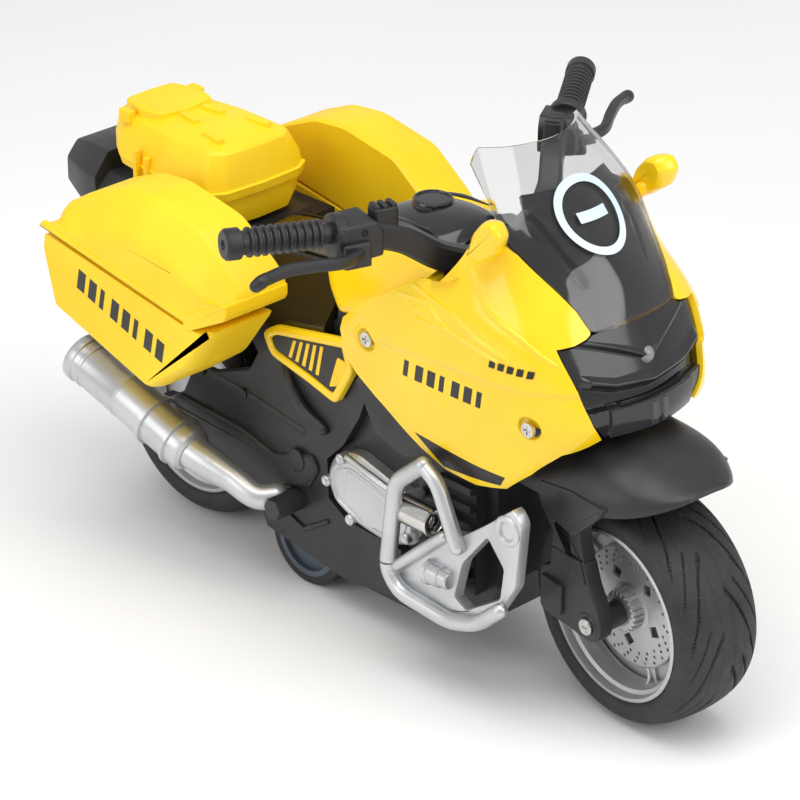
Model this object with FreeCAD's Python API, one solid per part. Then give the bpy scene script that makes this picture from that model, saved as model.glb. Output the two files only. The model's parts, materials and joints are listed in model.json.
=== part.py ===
import FreeCAD, Part
import math
import os

# Toy motorcycle, millimetres. +X points forward, +Y to the rider's left, +Z up.
# The origin is on the ground, on the centre plane, midway between the two axles.

V = FreeCAD.Vector
UP = V(0, 0, 1)
ACROSS = V(0, 1, 0)

# Overall sizes
WHEELBASE = 154.0
TYRE_RADIUS = 30.0
BODY_HALF_WIDTH = 17.0
FAIRING_HALF_WIDTH = 30.0

# The outlines below are drawn for these sizes, and stretch with the ones above.
DRAWN_WHEELBASE = 154.0
DRAWN_TYRE_RADIUS = 30.0
DRAWN_FAIRING_HALF_WIDTH = 30.0
STRETCH = WHEELBASE / DRAWN_WHEELBASE
RISE = TYRE_RADIUS / DRAWN_TYRE_RADIUS
SPREAD = FAIRING_HALF_WIDTH / DRAWN_FAIRING_HALF_WIDTH

# Outer outline of the front bodywork, right half, at each height
ENVELOPE_LEVELS = [
    (54, [(58, 0), (57, 12), (53, 20.5), (44, 24.5), (26, 25), (10, 25), (-6, 24)]),
    (68, [(71, 0), (69, 13), (63, 23.5), (49, 27.5), (28, 28), (10, 27.5), (-6, 26)]),
    (78, [(79.7, 0), (77, 14), (72, 24), (56, 29), (32, 30), (12, 29.5), (-6, 27.5)]),
    (91, [(78.4, 0), (76.5, 15), (71.5, 24.5), (58, 30), (34, 31), (12, 30), (-6, 27)]),
    (103, [(72.4, 0), (70.8, 14.5), (66, 24.5), (54, 29.3), (34, 29.6), (12, 28), (-6, 24.5)]),
    (114, [(67, 0), (64.8, 11.5), (60, 20), (51, 25.5), (36, 26.5), (14, 25), (-4, 21)]),
    (126, [(56.6, 0), (54.3, 11.5), (51, 19), (47, 23.2), (36, 24.2), (18, 22), (2, 18)]),
    (142, [(42, 0), (40.4, 8), (37.5, 13.5), (33.5, 17), (26, 18), (14, 16), (4, 14)]),
]

# Fits and walls
RUNNING_GAP = 0.05
SEAM = 0.1
LOOSE_GAP = 0.4
SHELL_WALL = 1.6
FAIRING_WALL = 2.0

# Wheels
AXLE_Z = TYRE_RADIUS
REAR_AXLE_X = -WHEELBASE / 2
FRONT_AXLE_X = WHEELBASE / 2
TYRE_HALF_WIDTH = 12.0
TYRE_SHOULDER_DROP = 4.0
TYRE_GAP = 4.0
RIM_RADIUS = TYRE_RADIUS - 7.4
RIM_HALF_WIDTH = 11.0
RIM_BARREL_WALL = 1.5
RIM_LIP = 0.4
SPOKE_COUNT = 5
SPOKE_HALF_THICKNESS = 4.0
SPOKE_WINDOW_INNER = 9.0
SPOKE_WINDOW_HALF_ANGLE = 22.0
HUB_RADIUS = 5.0
HUB_HALF_WIDTH = 8.6
COLLAR_TEETH = 20
COLLAR_TOOTH_DEPTH = 0.5
DISC_RADIUS = 16.0
DISC_THICKNESS = 1.0
AXLE_RADIUS = 1.5
SPACER_RADIUS = 3.2

# Steering fork, raked about an axis that passes through the front axle
RAKE_DEG = 20.0
STEER_REST_DEG = -6.4
STEM_RADIUS = 3.0
STEM_CAP_RADIUS = 4.4
STEM_CAP_THICKNESS = 1.6
STEM_TOP_Z = 96.0 * RISE
CROWN_BOTTOM_Z = 64.0 * RISE
CROWN_THICKNESS = 3.6
LEG_INNER = 14.5
LEG_THICKNESS = 4.2
MUDGUARD_WALL = 1.4
AXLE_HEAD_RADIUS = 2.2
AXLE_HEAD_HEIGHT = 1.2

# Handlebar, turning about an upright post
HANDLEBAR_REST_DEG = 7.8
POST_X = 28.0 * STRETCH
POST_RADIUS = 3.0
POST_SHOULDER_RADIUS = 5.0
YOKE_RADIUS = 6.5
YOKE_BOTTOM_Z = 105.0 * RISE
YOKE_TOP_Z = 119.0 * RISE
BAR_RADIUS = 2.6
GRIP_RADIUS = 3.5
GRIP_RIBS = 7
GRIP_RIB_HEIGHT = 0.5

# Chassis
CHASSIS_TOP_Z = 96.0 * RISE
CHASSIS_FRONT_X = FRONT_AXLE_X - TYRE_RADIUS - TYRE_GAP
CHASSIS_REAR_X = REAR_AXLE_X + TYRE_RADIUS + TYRE_GAP + 3.0
BELLY_Z = 8.0 * RISE
KEEL_Z = 4.5 * RISE
FRAME_RELIEF = 3.0
HEADSTOCK_BOTTOM_Z = 79.0 * RISE
HEADSTOCK_TOP_Z = 92.0 * RISE
SWINGARM_INNER = 14.0
SWINGARM_THICKNESS = 4.0

# Drive train
DRIVE_X = -27.0 * STRETCH
DRIVE_RADIUS = 13.0
DRIVE_TYRE_WALL = 2.5
DRIVE_INNER = 11.0
DRIVE_WIDTH = 5.6
DRIVE_SHAFT_RADIUS = 1.5
GEAR_MODULE = 0.5
GEAR_TEETH = 24
PINION_TEETH = 10
GEAR_INNER = 6.9
GEAR_WIDTH = 1.8
GEAR_BACKLASH = 0.14
MOTOR_RADIUS = 4.9
MOTOR_HALF_LENGTH = 6.2
MOTOR_SHAFT_RADIUS = 0.75
MOTOR_LEAN_DEG = 45.5
WELL_RADIUS = DRIVE_RADIUS + 1.4
WELL_WALL_INNER = 9.2
WELL_WALL = 1.4

# Electrics
CELL_RADIUS = 5.25
CELL_LENGTH = 44.5
CELL_X = -10.8 * STRETCH
BOARD_THICKNESS = 1.2
SWITCH_TRAVEL = 3.0
SWITCH_LENGTH = 4.0
SWITCH_HALF_WIDTH = 1.5
LED_RADIUS = 2.5

# Luggage
PANNIER_INNER = 26.0
PANNIER_OUTER = 47.0
PANNIER_LIP = 1.2
CASE_WALL = 1.5

# Fasteners
SCREW_HEAD_RADIUS = 1.9
SCREW_HEAD_HEIGHT = 1.0
SCREW_SHANK_RADIUS = 0.9
SCREW_LENGTH = 7.0
SCREW_SLOT_WIDTH = 0.5
COUNTERBORE_RADIUS = 3.0
FAIRING_SEAT_DEPTH = 1.2
FAIRING_SCREWS = [(9.4, 86.9), (63.2, 81.1)]
CHASSIS_SCREW_PLACES = [(4, 54), (20, 70), (-88, 80)]

# Crash bar
GUARD_TUBE_RADIUS = 2.2
GUARD_PLANE = 31.0
PLATE_THICKNESS = 3.0
GUARD_LOOP = [(31, 61), (21.5, 53), (18.5, 28), (23, 23), (42, 22)]
GUARD_STRUT = [(31, 61), (36, 58), (43, 43)]
GUARD_PLATE = [(37, 43), (43, 46.5), (50, 52), (60, 59.5), (63, 56), (61, 34), (48, 22), (34, 20), (32, 24)]
GUARD_WINDOW = [(51.5, 47.5), (43.5, 38), (40, 29.5), (44, 27), (56, 35), (56.5, 43)]

# Exhaust
EXHAUST_TIP = (-96.0, 33.0, 48.0)
EXHAUST_WAIST = (-53.0, 32.0, 34.2)
EXHAUST_HEAD = (-30.0, 28.0, 27.4)
MUFFLER_RADIUS = 6.4
TIP_RADIUS = 7.0
HEADER_RADIUS = 3.3


def flat(points):
    """Stretch a side outline of (x, z) pairs to the chosen wheelbase and tyre."""
    return [(x * STRETCH, z * RISE) for x, z in points]


def polygon_face(corners):
    return Part.Face(Part.makePolygon(corners + corners[:1]))


def side_prism(points, y_from, y_to):
    """Solid between two planes across the machine, with an (x, z) outline."""
    face = polygon_face([V(x, y_from, z) for x, z in points])
    return face.extrude(V(0, y_to - y_from, 0))


def front_prism(points, x_from, x_to):
    """Solid between two planes along the machine, with a (y, z) outline."""
    face = polygon_face([V(x_from, y, z) for y, z in points])
    return face.extrude(V(x_to - x_from, 0, 0))


def plan_prism(points, z_from, z_to):
    face = polygon_face([V(x, y, z_from) for x, y in points])
    return face.extrude(V(0, 0, z_to - z_from))


def block(x_from, x_to, y_from, y_to, z_from, z_to):
    size = (x_to - x_from, y_to - y_from, z_to - z_from)
    return Part.makeBox(size[0], size[1], size[2], V(x_from, y_from, z_from))


def cross_rod(x, z, y_from, y_to, radius):
    """Cylinder along Y."""
    return Part.makeCylinder(radius, abs(y_to - y_from), V(x, min(y_from, y_to), z), ACROSS)


def rod(start, end, radius):
    a = V(*start)
    b = V(*end)
    return Part.makeCylinder(radius, (b - a).Length, a, b - a)


def taper(start, end, start_radius, end_radius):
    a = V(*start)
    b = V(*end)
    return Part.makeCone(start_radius, end_radius, (b - a).Length, a, b - a)


def ball(centre, radius):
    return Part.makeSphere(radius, V(*centre))


def joined(shapes):
    result = shapes[0].fuse(shapes[1:]) if len(shapes) > 1 else shapes[0]
    return result.removeSplitter()


def tube_path(points, radius):
    """Rods between the points, with a ball at each bend and rounded ends."""
    pieces = [ball(p, radius) for p in points]
    pieces += [rod(a, b, radius) for a, b in zip(points, points[1:])]
    return joined(pieces)


def other_side(shape):
    return shape.mirror(V(0, 0, 0), ACROSS)


def section_loft(stations):
    """Ruled solid through (x, [(y, z), ...]) stations."""
    wires = []
    for x, outline in stations:
        corners = [V(x, y, z) for y, z in outline]
        wires.append(Part.makePolygon(corners + corners[:1]))
    return Part.makeLoft(wires, True, True)


def inset(outline, wall):
    """Move each corner of a convex closed outline inwards by the wall."""
    result = []
    count = len(outline)
    area = sum(a[0] * b[1] - b[0] * a[1] for a, b in zip(outline, outline[1:] + outline[:1]))
    turn = 1.0 if area > 0 else -1.0
    for i in range(count):
        before = outline[i - 1]
        here = outline[i]
        after = outline[(i + 1) % count]
        n1 = edge_normal(before, here, turn)
        n2 = edge_normal(here, after, turn)
        bend = 1.0 + n1[0] * n2[0] + n1[1] * n2[1]
        shift = wall / max(bend, 0.3)
        result.append((here[0] + (n1[0] + n2[0]) * shift, here[1] + (n1[1] + n2[1]) * shift))
    return result


def edge_normal(a, b, turn):
    dx = b[0] - a[0]
    dy = b[1] - a[1]
    length = math.hypot(dx, dy)
    return (-dy / length * turn, dx / length * turn)


def solids_only(shape):
    """Keep the largest solid of a cut, and drop slivers."""
    return max(shape.Solids, key=lambda s: s.Volume)


# ---------------------------------------------------------------- chassis

def chassis_outline():
    rear = flat([(-100, 87), (-100, 72), (-84, 66)])
    wall = [(CHASSIS_REAR_X - 6, 64 * RISE), (CHASSIS_REAR_X, 56 * RISE), (CHASSIS_REAR_X, 16 * RISE)]
    keel = flat([(-36, 8), (-32, 4.5), (-20, 4.5), (-14, 8), (28, 8)])
    front = [
        (CHASSIS_FRONT_X - 5, 14 * RISE), (CHASSIS_FRONT_X, 26 * RISE), (CHASSIS_FRONT_X, 72 * RISE),
        (48 * STRETCH, HEADSTOCK_BOTTOM_Z), (66 * STRETCH, HEADSTOCK_BOTTOM_Z),
        (66 * STRETCH, HEADSTOCK_TOP_Z), (44 * STRETCH, HEADSTOCK_TOP_Z),
    ]
    top = flat([(34, 96), (-12, 96), (-14, 80), (-58, 80), (-60, 87)])
    return rear + wall + keel + front + top


def chassis_cavity_outline():
    """The hollow inside, one wall in from the outline."""
    w = SHELL_WALL
    rear = [(x + a, z + b) for (x, z), (a, b) in zip(flat([(-100, 87), (-100, 72), (-84, 66)]),
                                                     [(w, -w), (w, w), (w, w)])]
    wall = [(CHASSIS_REAR_X - 6 + w, 64 * RISE + w), (CHASSIS_REAR_X + w, 56 * RISE + w)]
    low = [(CHASSIS_REAR_X + w, 16 * RISE + w)]
    keel_slope = [(-35, 9.6), (-31.4, 6.1), (-20.6, 6.1), (-14.6, 9.6), (27.4, 9.6)]
    front = [(CHASSIS_FRONT_X - 5 - w, 15.2 * RISE), (CHASSIS_FRONT_X - w, 27 * RISE)]
    front_top = [(CHASSIS_FRONT_X - w, CHASSIS_TOP_Z - 8 * RISE)]
    top = [(34 * STRETCH - w, CHASSIS_TOP_Z - w)]
    rest = [(-12 * STRETCH + w, CHASSIS_TOP_Z - w), (-14 * STRETCH + w, 80 * RISE - w)]
    tail = [(-58 * STRETCH - w, 80 * RISE - w), (-60 * STRETCH - w, 87 * RISE - w)]
    return rear + wall + low + flat(keel_slope) + front + front_top + top + rest + tail


def frame_relief_outline():
    return flat([
        (-73, 36), (-59, 33), (-43, 29), (-41, 20), (-38, 14), (-8, 9.5), (12, 12), (12, 26), (-8, 27),
        (-14.5, 31), (-15, 42), (-9, 48), (-3, 58), (0, 66), (-4, 71), (-36, 71), (-44, 57), (-67, 48),
    ])


def swingarm():
    tip = REAR_AXLE_X - 5
    outline = [
        (CHASSIS_REAR_X + 2, 44 * RISE), (REAR_AXLE_X + 14, AXLE_Z + 9), (tip, AXLE_Z + 6),
        (tip - 3, AXLE_Z), (tip, AXLE_Z - 6), (REAR_AXLE_X + 14, AXLE_Z - 7),
        (CHASSIS_REAR_X + 2, 20 * RISE),
    ]
    arm = side_prism(outline, -SWINGARM_INNER, -SWINGARM_INNER - SWINGARM_THICKNESS)
    return arm.cut(cross_rod(REAR_AXLE_X, AXLE_Z, -30, 30, AXLE_RADIUS))


def rear_axle_boss():
    """Sleeve inside the swingarm that spaces the rear wheel."""
    sleeve = cross_rod(REAR_AXLE_X, AXLE_Z, -SWINGARM_INNER - 0.5, -HUB_HALF_WIDTH - 0.15, SPACER_RADIUS)
    return sleeve.cut(cross_rod(REAR_AXLE_X, AXLE_Z, -30, 30, AXLE_RADIUS))


def wheel_well():
    """Pocket for one drive wheel, open below."""
    outer = BODY_HALF_WIDTH + 0.4
    inner = WELL_WALL_INNER + WELL_WALL
    arch = cross_rod(DRIVE_X, DRIVE_RADIUS, -outer, -inner, WELL_RADIUS)
    slot = block(DRIVE_X - WELL_RADIUS, DRIVE_X + WELL_RADIUS, -outer, -inner, -1, DRIVE_RADIUS)
    return arch.fuse(slot)


def wheel_well_wall():
    reach = WELL_RADIUS + 1.4
    inner = WELL_WALL_INNER
    face = block(DRIVE_X - reach, DRIVE_X + reach, -inner - WELL_WALL, -inner, KEEL_Z, DRIVE_RADIUS + reach)
    arch = cross_rod(DRIVE_X, DRIVE_RADIUS, -BODY_HALF_WIDTH + 0.2, -inner, reach)
    arch = arch.cut(block(-200, 200, -40, 0, -20, KEEL_Z))
    sides = face.fuse(arch)
    sides = sides.common(side_prism(chassis_outline(), -BODY_HALF_WIDTH, 0))
    return sides


def shaft_bearing():
    """Rib on the keel that carries the inner end of one drive shaft."""
    rib = block(DRIVE_X - 2.0, DRIVE_X + 2.0, -4.0, -1.5, KEEL_Z, DRIVE_RADIUS + 2.0)
    return rib


def shaft_bore():
    return cross_rod(DRIVE_X, DRIVE_RADIUS, -BODY_HALF_WIDTH + 0.5, -1.5, DRIVE_SHAFT_RADIUS + RUNNING_GAP)


def headstock_fill():
    return block(46 * STRETCH, 66 * STRETCH, -BODY_HALF_WIDTH, 0, HEADSTOCK_BOTTOM_Z, HEADSTOCK_TOP_Z)


def headstock_sides():
    """Narrow the front of the chassis beside the headstock."""
    outline = [(44 * STRETCH, -BODY_HALF_WIDTH - 1), (66 * STRETCH + 1, -BODY_HALF_WIDTH - 1),
               (66 * STRETCH + 1, -8), (56 * STRETCH, -10)]
    return plan_prism(outline, HEADSTOCK_BOTTOM_Z - 12, HEADSTOCK_TOP_Z + 5)


def steering_point(z):
    return (FRONT_AXLE_X - (z - AXLE_Z) * math.tan(math.radians(RAKE_DEG)), 0, z)


def steering_direction():
    return V(-math.sin(math.radians(RAKE_DEG)), 0, math.cos(math.radians(RAKE_DEG)))


def stem_bore():
    low = steering_point(HEADSTOCK_BOTTOM_Z - 6)
    high = steering_point(HEADSTOCK_TOP_Z + 6)
    return rod(low, high, STEM_RADIUS + RUNNING_GAP)


def handlebar_post():
    shoulder = Part.makeCylinder(POST_SHOULDER_RADIUS, YOKE_BOTTOM_Z - SEAM - CHASSIS_TOP_Z + 1,
                                 V(POST_X, 0, CHASSIS_TOP_Z - 1), UP)
    pin = Part.makeCylinder(POST_RADIUS, YOKE_TOP_Z - 3 - CHASSIS_TOP_Z, V(POST_X, 0, CHASSIS_TOP_Z), UP)
    post = shoulder.fuse(pin)
    return post.common(block(0, 200, -50, 0, 0, 300))


def fairing_boss(x, z):
    """Post from the chassis side out to the inside of the fairing."""
    post = cross_rod(x * STRETCH, z * RISE, -40, -7.0, COUNTERBORE_RADIUS)
    return post.common(envelope(FAIRING_WALL + SEAM))


def pannier_rail():
    outline = flat([(-86, 84), (-86, 76), (-66, 73), (-60.5, 76), (-60.5, 84)])
    return side_prism(outline, -PANNIER_INNER + SEAM, -BODY_HALF_WIDTH + 1)


def moulded_details():
    """Hex peg, wing under the fairing and a foot-rest stub on one side."""
    peg_centre = (-27.7 * STRETCH, 25.8 * RISE)
    corners = []
    for i in range(6):
        angle = math.radians(60 * i)
        corners.append((peg_centre[0] + 3 * math.cos(angle), peg_centre[1] + 3 * math.sin(angle)))
    side = -BODY_HALF_WIDTH - FRAME_RELIEF
    peg = side_prism(corners, -EXHAUST_HEAD[1] + HEADER_RADIUS + SEAM, side + 1)
    wing_outline = flat([(-1, 70), (2, 74), (15, 66), (28, 60), (16, 55), (6, 58)])
    wing = side_prism(wing_outline, side - 3, -BODY_HALF_WIDTH + 1)
    return [peg, wing]


def chassis_half():
    """The rider's right half of the body shell, closed by its mirror image."""
    shell = side_prism(chassis_outline(), -BODY_HALF_WIDTH, 0)
    cavity = side_prism(chassis_cavity_outline(), -BODY_HALF_WIDTH + SHELL_WALL, 0)
    shell = shell.cut(cavity)
    relief = side_prism(frame_relief_outline(), -BODY_HALF_WIDTH - FRAME_RELIEF, -BODY_HALF_WIDTH + 0.5)
    added = [relief, swingarm(), pannier_rail(), headstock_fill(), engine_casting()] + moulded_details()
    half = shell.fuse(added)
    half = half.fuse([wheel_well_wall(), shaft_bearing(), motor_cradle(), rear_axle_boss()])
    half = half.cut(wheel_well())
    recess = cross_rod(-25.7 * STRETCH, 38.1 * RISE, -40, -BODY_HALF_WIDTH - 0.2, 2.8)
    half = half.cut([shaft_bore(), headstock_sides(), stem_bore(), recess])
    bosses = [fairing_boss(x, z) for x, z in FAIRING_SCREWS]
    half = half.fuse(bosses + [handlebar_post()])
    half = half.cut([belly_opening(), switch_slot(), stem_bore()] + screw_holes() + chassis_screw_holes())
    return solids_only(half.removeSplitter())


# ------------------------------------------------------------ belly and switch

def belly_span():
    return (-4 * STRETCH, 27 * STRETCH)


def belly_opening():
    low, high = belly_span()
    return block(low + 2, high - 2, -10.4, 10.4, BELLY_Z - 1, BELLY_Z + SHELL_WALL + 0.5)


def belly_cover():
    low, high = belly_span()
    plate = block(low, high, -12, 12, BELLY_Z - SHELL_WALL, BELLY_Z)
    plug = block(low + 2 + SEAM, high - 2 - SEAM, -10.3, 10.3, BELLY_Z, BELLY_Z + 1.0)
    pegs = []
    for side in (-1, 1):
        top = (3 * STRETCH, 7 * side, BELLY_Z - 1)
        tip = (3 * STRETCH, 7 * side, 3.4)
        pegs += [rod(top, tip, 2.4), ball(tip, 2.4)]
    return joined([plate, plug] + pegs)


def switch_slot():
    centre = -9 * STRETCH
    half = SWITCH_LENGTH / 2 + SWITCH_TRAVEL / 2 + 0.2
    return block(centre - half, centre + half, -SWITCH_HALF_WIDTH - 0.1, SWITCH_HALF_WIDTH + 0.1,
                 BELLY_Z - 1, BELLY_Z + SHELL_WALL + 1)


def switch_slider():
    """Thumb piece with a flange that bears on the inside of the belly wall."""
    low = -9 * STRETCH - SWITCH_LENGTH / 2 - SWITCH_TRAVEL / 2
    high = low + SWITCH_LENGTH
    knob = block(low, high, -SWITCH_HALF_WIDTH, SWITCH_HALF_WIDTH, BELLY_Z - 1.2, BELLY_Z + SHELL_WALL + 0.3)
    wall_top = 9.6 * RISE
    flange = block(low - 0.5, high + 0.5, -2.6, 2.6, wall_top + 0.05, wall_top + 1.2)
    return joined([knob, flange])


# ------------------------------------------------------------- electrics

def battery_pack():
    """Two cells side by side in one wrap."""
    z = BELLY_Z + 11.6
    cells = []
    for side in (-1, 1):
        start = V(CELL_X, side * (CELL_RADIUS - 0.1), z)
        cells.append(Part.makeCylinder(CELL_RADIUS, CELL_LENGTH, start, V(1, 0, 0)))
    wrap = block(CELL_X, CELL_X + CELL_LENGTH, -CELL_RADIUS, CELL_RADIUS, z - 3.5, z + 3.5)
    return joined(cells + [wrap])


def circuit_board():
    z = 44.0 * RISE
    half = BODY_HALF_WIDTH - SHELL_WALL - 0.1
    board = block(-6 * STRETCH, 32 * STRETCH, -half, half, z, z + BOARD_THICKNESS)
    chip = block(4 * STRETCH, 12 * STRETCH, -4, 4, z + BOARD_THICKNESS, z + BOARD_THICKNESS + 1.6)
    can = Part.makeCylinder(2.5, 5.0, V(22 * STRETCH, 5, z + BOARD_THICKNESS), UP)
    return joined([board, chip, can])


def motor_place(lean):
    distance = GEAR_MODULE * (GEAR_TEETH + PINION_TEETH) / 2 + GEAR_BACKLASH
    angle = math.radians(MOTOR_LEAN_DEG)
    x = DRIVE_X + lean * distance * math.cos(angle)
    z = DRIVE_RADIUS + distance * math.sin(angle)
    return (x, z)


def drive_motor(lean, side):
    """Can motor lying across the machine, its shaft towards one side."""
    x, z = motor_place(lean)
    can = cross_rod(x, z, -MOTOR_HALF_LENGTH, MOTOR_HALF_LENGTH, MOTOR_RADIUS)
    shaft = cross_rod(x, z, 0, side * (GEAR_INNER + GEAR_WIDTH + 0.3), MOTOR_SHAFT_RADIUS)
    return joined([can, shaft])


def motor_cradle():
    """Rib in each half that holds both motors down."""
    x1, z1 = motor_place(1)
    x2, z2 = motor_place(-1)
    half = BODY_HALF_WIDTH - SHELL_WALL
    bar = block(x2 - 6, x1 + 6, -5.0, 5.0, z1 + MOTOR_RADIUS - 1.0, z1 + MOTOR_RADIUS + 2.5)
    arms = block(x2 + 3, x1 - 3, -half - 0.4, half + 0.4, z1 + MOTOR_RADIUS + 5.5,
                 z1 + MOTOR_RADIUS + 7.0)
    neck = block(x2 + 3, x1 - 3, -5.0, 5.0, z1 + MOTOR_RADIUS + 2.0, z1 + MOTOR_RADIUS + 6.0)
    motors = [cross_rod(x, z1, -20, 20, MOTOR_RADIUS + SEAM) for x in (x1, x2)]
    cradle = joined([bar, neck, arms]).cut(motors)
    return cradle.common(block(-200, 200, -50, 0, 0, 200))


# ------------------------------------------------------------ gears and drive wheels

def gear(x, z, y_from, y_to, teeth, phase_deg):
    """Spur gear with straight-flanked teeth."""
    pitch = GEAR_MODULE * teeth / 2
    outer = pitch + 0.9 * GEAR_MODULE
    root = pitch - 1.2 * GEAR_MODULE
    corners = []
    for i in range(teeth):
        middle = math.radians(phase_deg) + 2 * math.pi * i / teeth
        for offset, radius in gear_tooth(teeth, root, outer):
            angle = middle + offset
            corners.append((x + radius * math.cos(angle), z + radius * math.sin(angle)))
    return side_prism(corners, y_from, y_to)


def gear_tooth(teeth, root, outer):
    """Angle and radius of the four corners of one tooth."""
    pitch_angle = 2 * math.pi / teeth
    wide = pitch_angle * 0.30
    narrow = pitch_angle * 0.11
    return [(-wide, root), (-narrow, outer), (narrow, outer), (wide, root)]


def drive_gear():
    y = -GEAR_INNER
    wheel = gear(DRIVE_X, DRIVE_RADIUS, y, y - GEAR_WIDTH, GEAR_TEETH, MOTOR_LEAN_DEG)
    boss = cross_rod(DRIVE_X, DRIVE_RADIUS, y + 2.5, y, 3.0)
    return joined([wheel, boss]).cut(cross_rod(DRIVE_X, DRIVE_RADIUS, -30, 30, DRIVE_SHAFT_RADIUS))


def drive_pinion():
    """Pinion on the leading motor, one tooth gap facing the gear."""
    x, z = motor_place(1)
    phase = MOTOR_LEAN_DEG + 180 + 180 / PINION_TEETH
    wheel = gear(x, z, -GEAR_INNER - 0.1, -GEAR_INNER - GEAR_WIDTH + 0.1, PINION_TEETH, phase)
    return wheel.cut(cross_rod(x, z, -30, 30, MOTOR_SHAFT_RADIUS + RUNNING_GAP))


def other_side_pinion():
    """Pinion on the trailing motor, for the rider's left wheel."""
    x, z = motor_place(-1)
    phase = 180 - MOTOR_LEAN_DEG + 180 + 180 / PINION_TEETH
    wheel = gear(x, z, GEAR_INNER + 0.1, GEAR_INNER + GEAR_WIDTH - 0.1, PINION_TEETH, phase)
    return wheel.cut(cross_rod(x, z, -30, 30, MOTOR_SHAFT_RADIUS + RUNNING_GAP))


def other_side_gear():
    y = GEAR_INNER
    wheel = gear(DRIVE_X, DRIVE_RADIUS, y, y + GEAR_WIDTH, GEAR_TEETH, 180 - MOTOR_LEAN_DEG)
    boss = cross_rod(DRIVE_X, DRIVE_RADIUS, y - 2.5, y, 3.0)
    return joined([wheel, boss]).cut(cross_rod(DRIVE_X, DRIVE_RADIUS, -30, 30, DRIVE_SHAFT_RADIUS))


def drive_wheel():
    """Hub moulded with its stub shaft, rider's right."""
    outer = -DRIVE_INNER - DRIVE_WIDTH
    hub = cross_rod(DRIVE_X, DRIVE_RADIUS, outer, -DRIVE_INNER, DRIVE_RADIUS - DRIVE_TYRE_WALL)
    dish = cross_rod(DRIVE_X, DRIVE_RADIUS, outer, outer + 1.5, DRIVE_RADIUS - DRIVE_TYRE_WALL - 1.5)
    dish = dish.cut(cross_rod(DRIVE_X, DRIVE_RADIUS, outer, outer + 1.5, 3.0))
    shaft = cross_rod(DRIVE_X, DRIVE_RADIUS, -DRIVE_INNER - 1, -2.0, DRIVE_SHAFT_RADIUS)
    return joined([hub.cut(dish), shaft])


def drive_tyre():
    outer = -DRIVE_INNER - DRIVE_WIDTH
    band = cross_rod(DRIVE_X, DRIVE_RADIUS, outer + 0.1, -DRIVE_INNER - 0.1, DRIVE_RADIUS)
    rims = [e for e in band.Edges if e.Length > 2 * math.pi * DRIVE_RADIUS - 1 and e.Closed]
    band = band.makeFillet(0.8, rims)
    return band.cut(cross_rod(DRIVE_X, DRIVE_RADIUS, -30, 0, DRIVE_RADIUS - DRIVE_TYRE_WALL))


# ------------------------------------------------------------- road wheels

def turned(points, x):
    """Solid of revolution about an axle: (radius, y) outline, turned about the line through x."""
    corners = [V(x + r, y, AXLE_Z) for r, y in points]
    return polygon_face(corners).revolve(V(x, 0, AXLE_Z), ACROSS, 360)


def tyre(x):
    """Round-shouldered tyre on the rim."""
    half = TYRE_HALF_WIDTH
    shoulder = TYRE_RADIUS - TYRE_SHOULDER_DROP
    inner = RIM_RADIUS
    bead = RIM_HALF_WIDTH - RIM_LIP
    crown = Part.Arc(V(x + shoulder, -half, AXLE_Z), V(x + TYRE_RADIUS, 0, AXLE_Z),
                     V(x + shoulder, half, AXLE_Z)).toShape()
    path = [V(x + shoulder, half, AXLE_Z), V(x + inner + 0.8, half - 0.3, AXLE_Z),
            V(x + inner, bead, AXLE_Z),
            V(x + inner, -bead, AXLE_Z), V(x + inner + 0.8, -half + 0.3, AXLE_Z),
            V(x + shoulder, -half, AXLE_Z)]
    rest = Part.makePolygon(path)
    face = Part.Face(Part.Wire([crown] + rest.Edges))
    return face.revolve(V(x, 0, AXLE_Z), ACROSS, 360)


def spoke_window(x, index):
    """One of the openings between the spokes."""
    inner = SPOKE_WINDOW_INNER
    outer = RIM_RADIUS - RIM_BARREL_WALL - 0.6
    middle = 360.0 * index / SPOKE_COUNT + 18
    corners = []
    for radius, spread in ((inner, 8.0), (outer, SPOKE_WINDOW_HALF_ANGLE)):
        low = math.radians(middle - spread)
        high = math.radians(middle + spread)
        pair = [(x + radius * math.cos(a), AXLE_Z + radius * math.sin(a)) for a in (low, high)]
        corners.append(pair)
    outline = [corners[0][0], corners[1][0], corners[1][1], corners[0][1]]
    return side_prism(outline, -SPOKE_HALF_THICKNESS - 1, SPOKE_HALF_THICKNESS + 1)


def knurled_collar(x, side):
    """Toothed collar on the end of the hub."""
    corners = []
    for i in range(COLLAR_TEETH * 2):
        angle = math.pi * i / COLLAR_TEETH
        radius = HUB_RADIUS - (COLLAR_TOOTH_DEPTH if i % 2 else 0)
        corners.append((x + radius * math.cos(angle), AXLE_Z + radius * math.sin(angle)))
    return side_prism(corners, side * (SPOKE_HALF_THICKNESS - 0.5), side * HUB_HALF_WIDTH)


def rim(x):
    barrel_inner = RIM_RADIUS - RIM_BARREL_WALL
    half = RIM_HALF_WIDTH
    barrel = turned([(barrel_inner, -half), (RIM_RADIUS + 0.2, -half), (RIM_RADIUS, -half + RIM_LIP),
                     (RIM_RADIUS, half - RIM_LIP), (RIM_RADIUS + 0.2, half), (barrel_inner, half)], x)
    web = cross_rod(x, AXLE_Z, -SPOKE_HALF_THICKNESS, SPOKE_HALF_THICKNESS, barrel_inner + 0.2)
    web = web.cut([spoke_window(x, i) for i in range(SPOKE_COUNT)])
    solid = joined([barrel, web, knurled_collar(x, -1), knurled_collar(x, 1)])
    return solid.cut(cross_rod(x, AXLE_Z, -40, 40, AXLE_RADIUS + RUNNING_GAP))


def brake_disc(x, side):
    near = side * SPOKE_HALF_THICKNESS
    far = side * (SPOKE_HALF_THICKNESS + DISC_THICKNESS)
    return cross_rod(x, AXLE_Z, near, far, DISC_RADIUS).cut(
        cross_rod(x, AXLE_Z, -40, 40, HUB_RADIUS + SEAM))


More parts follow.
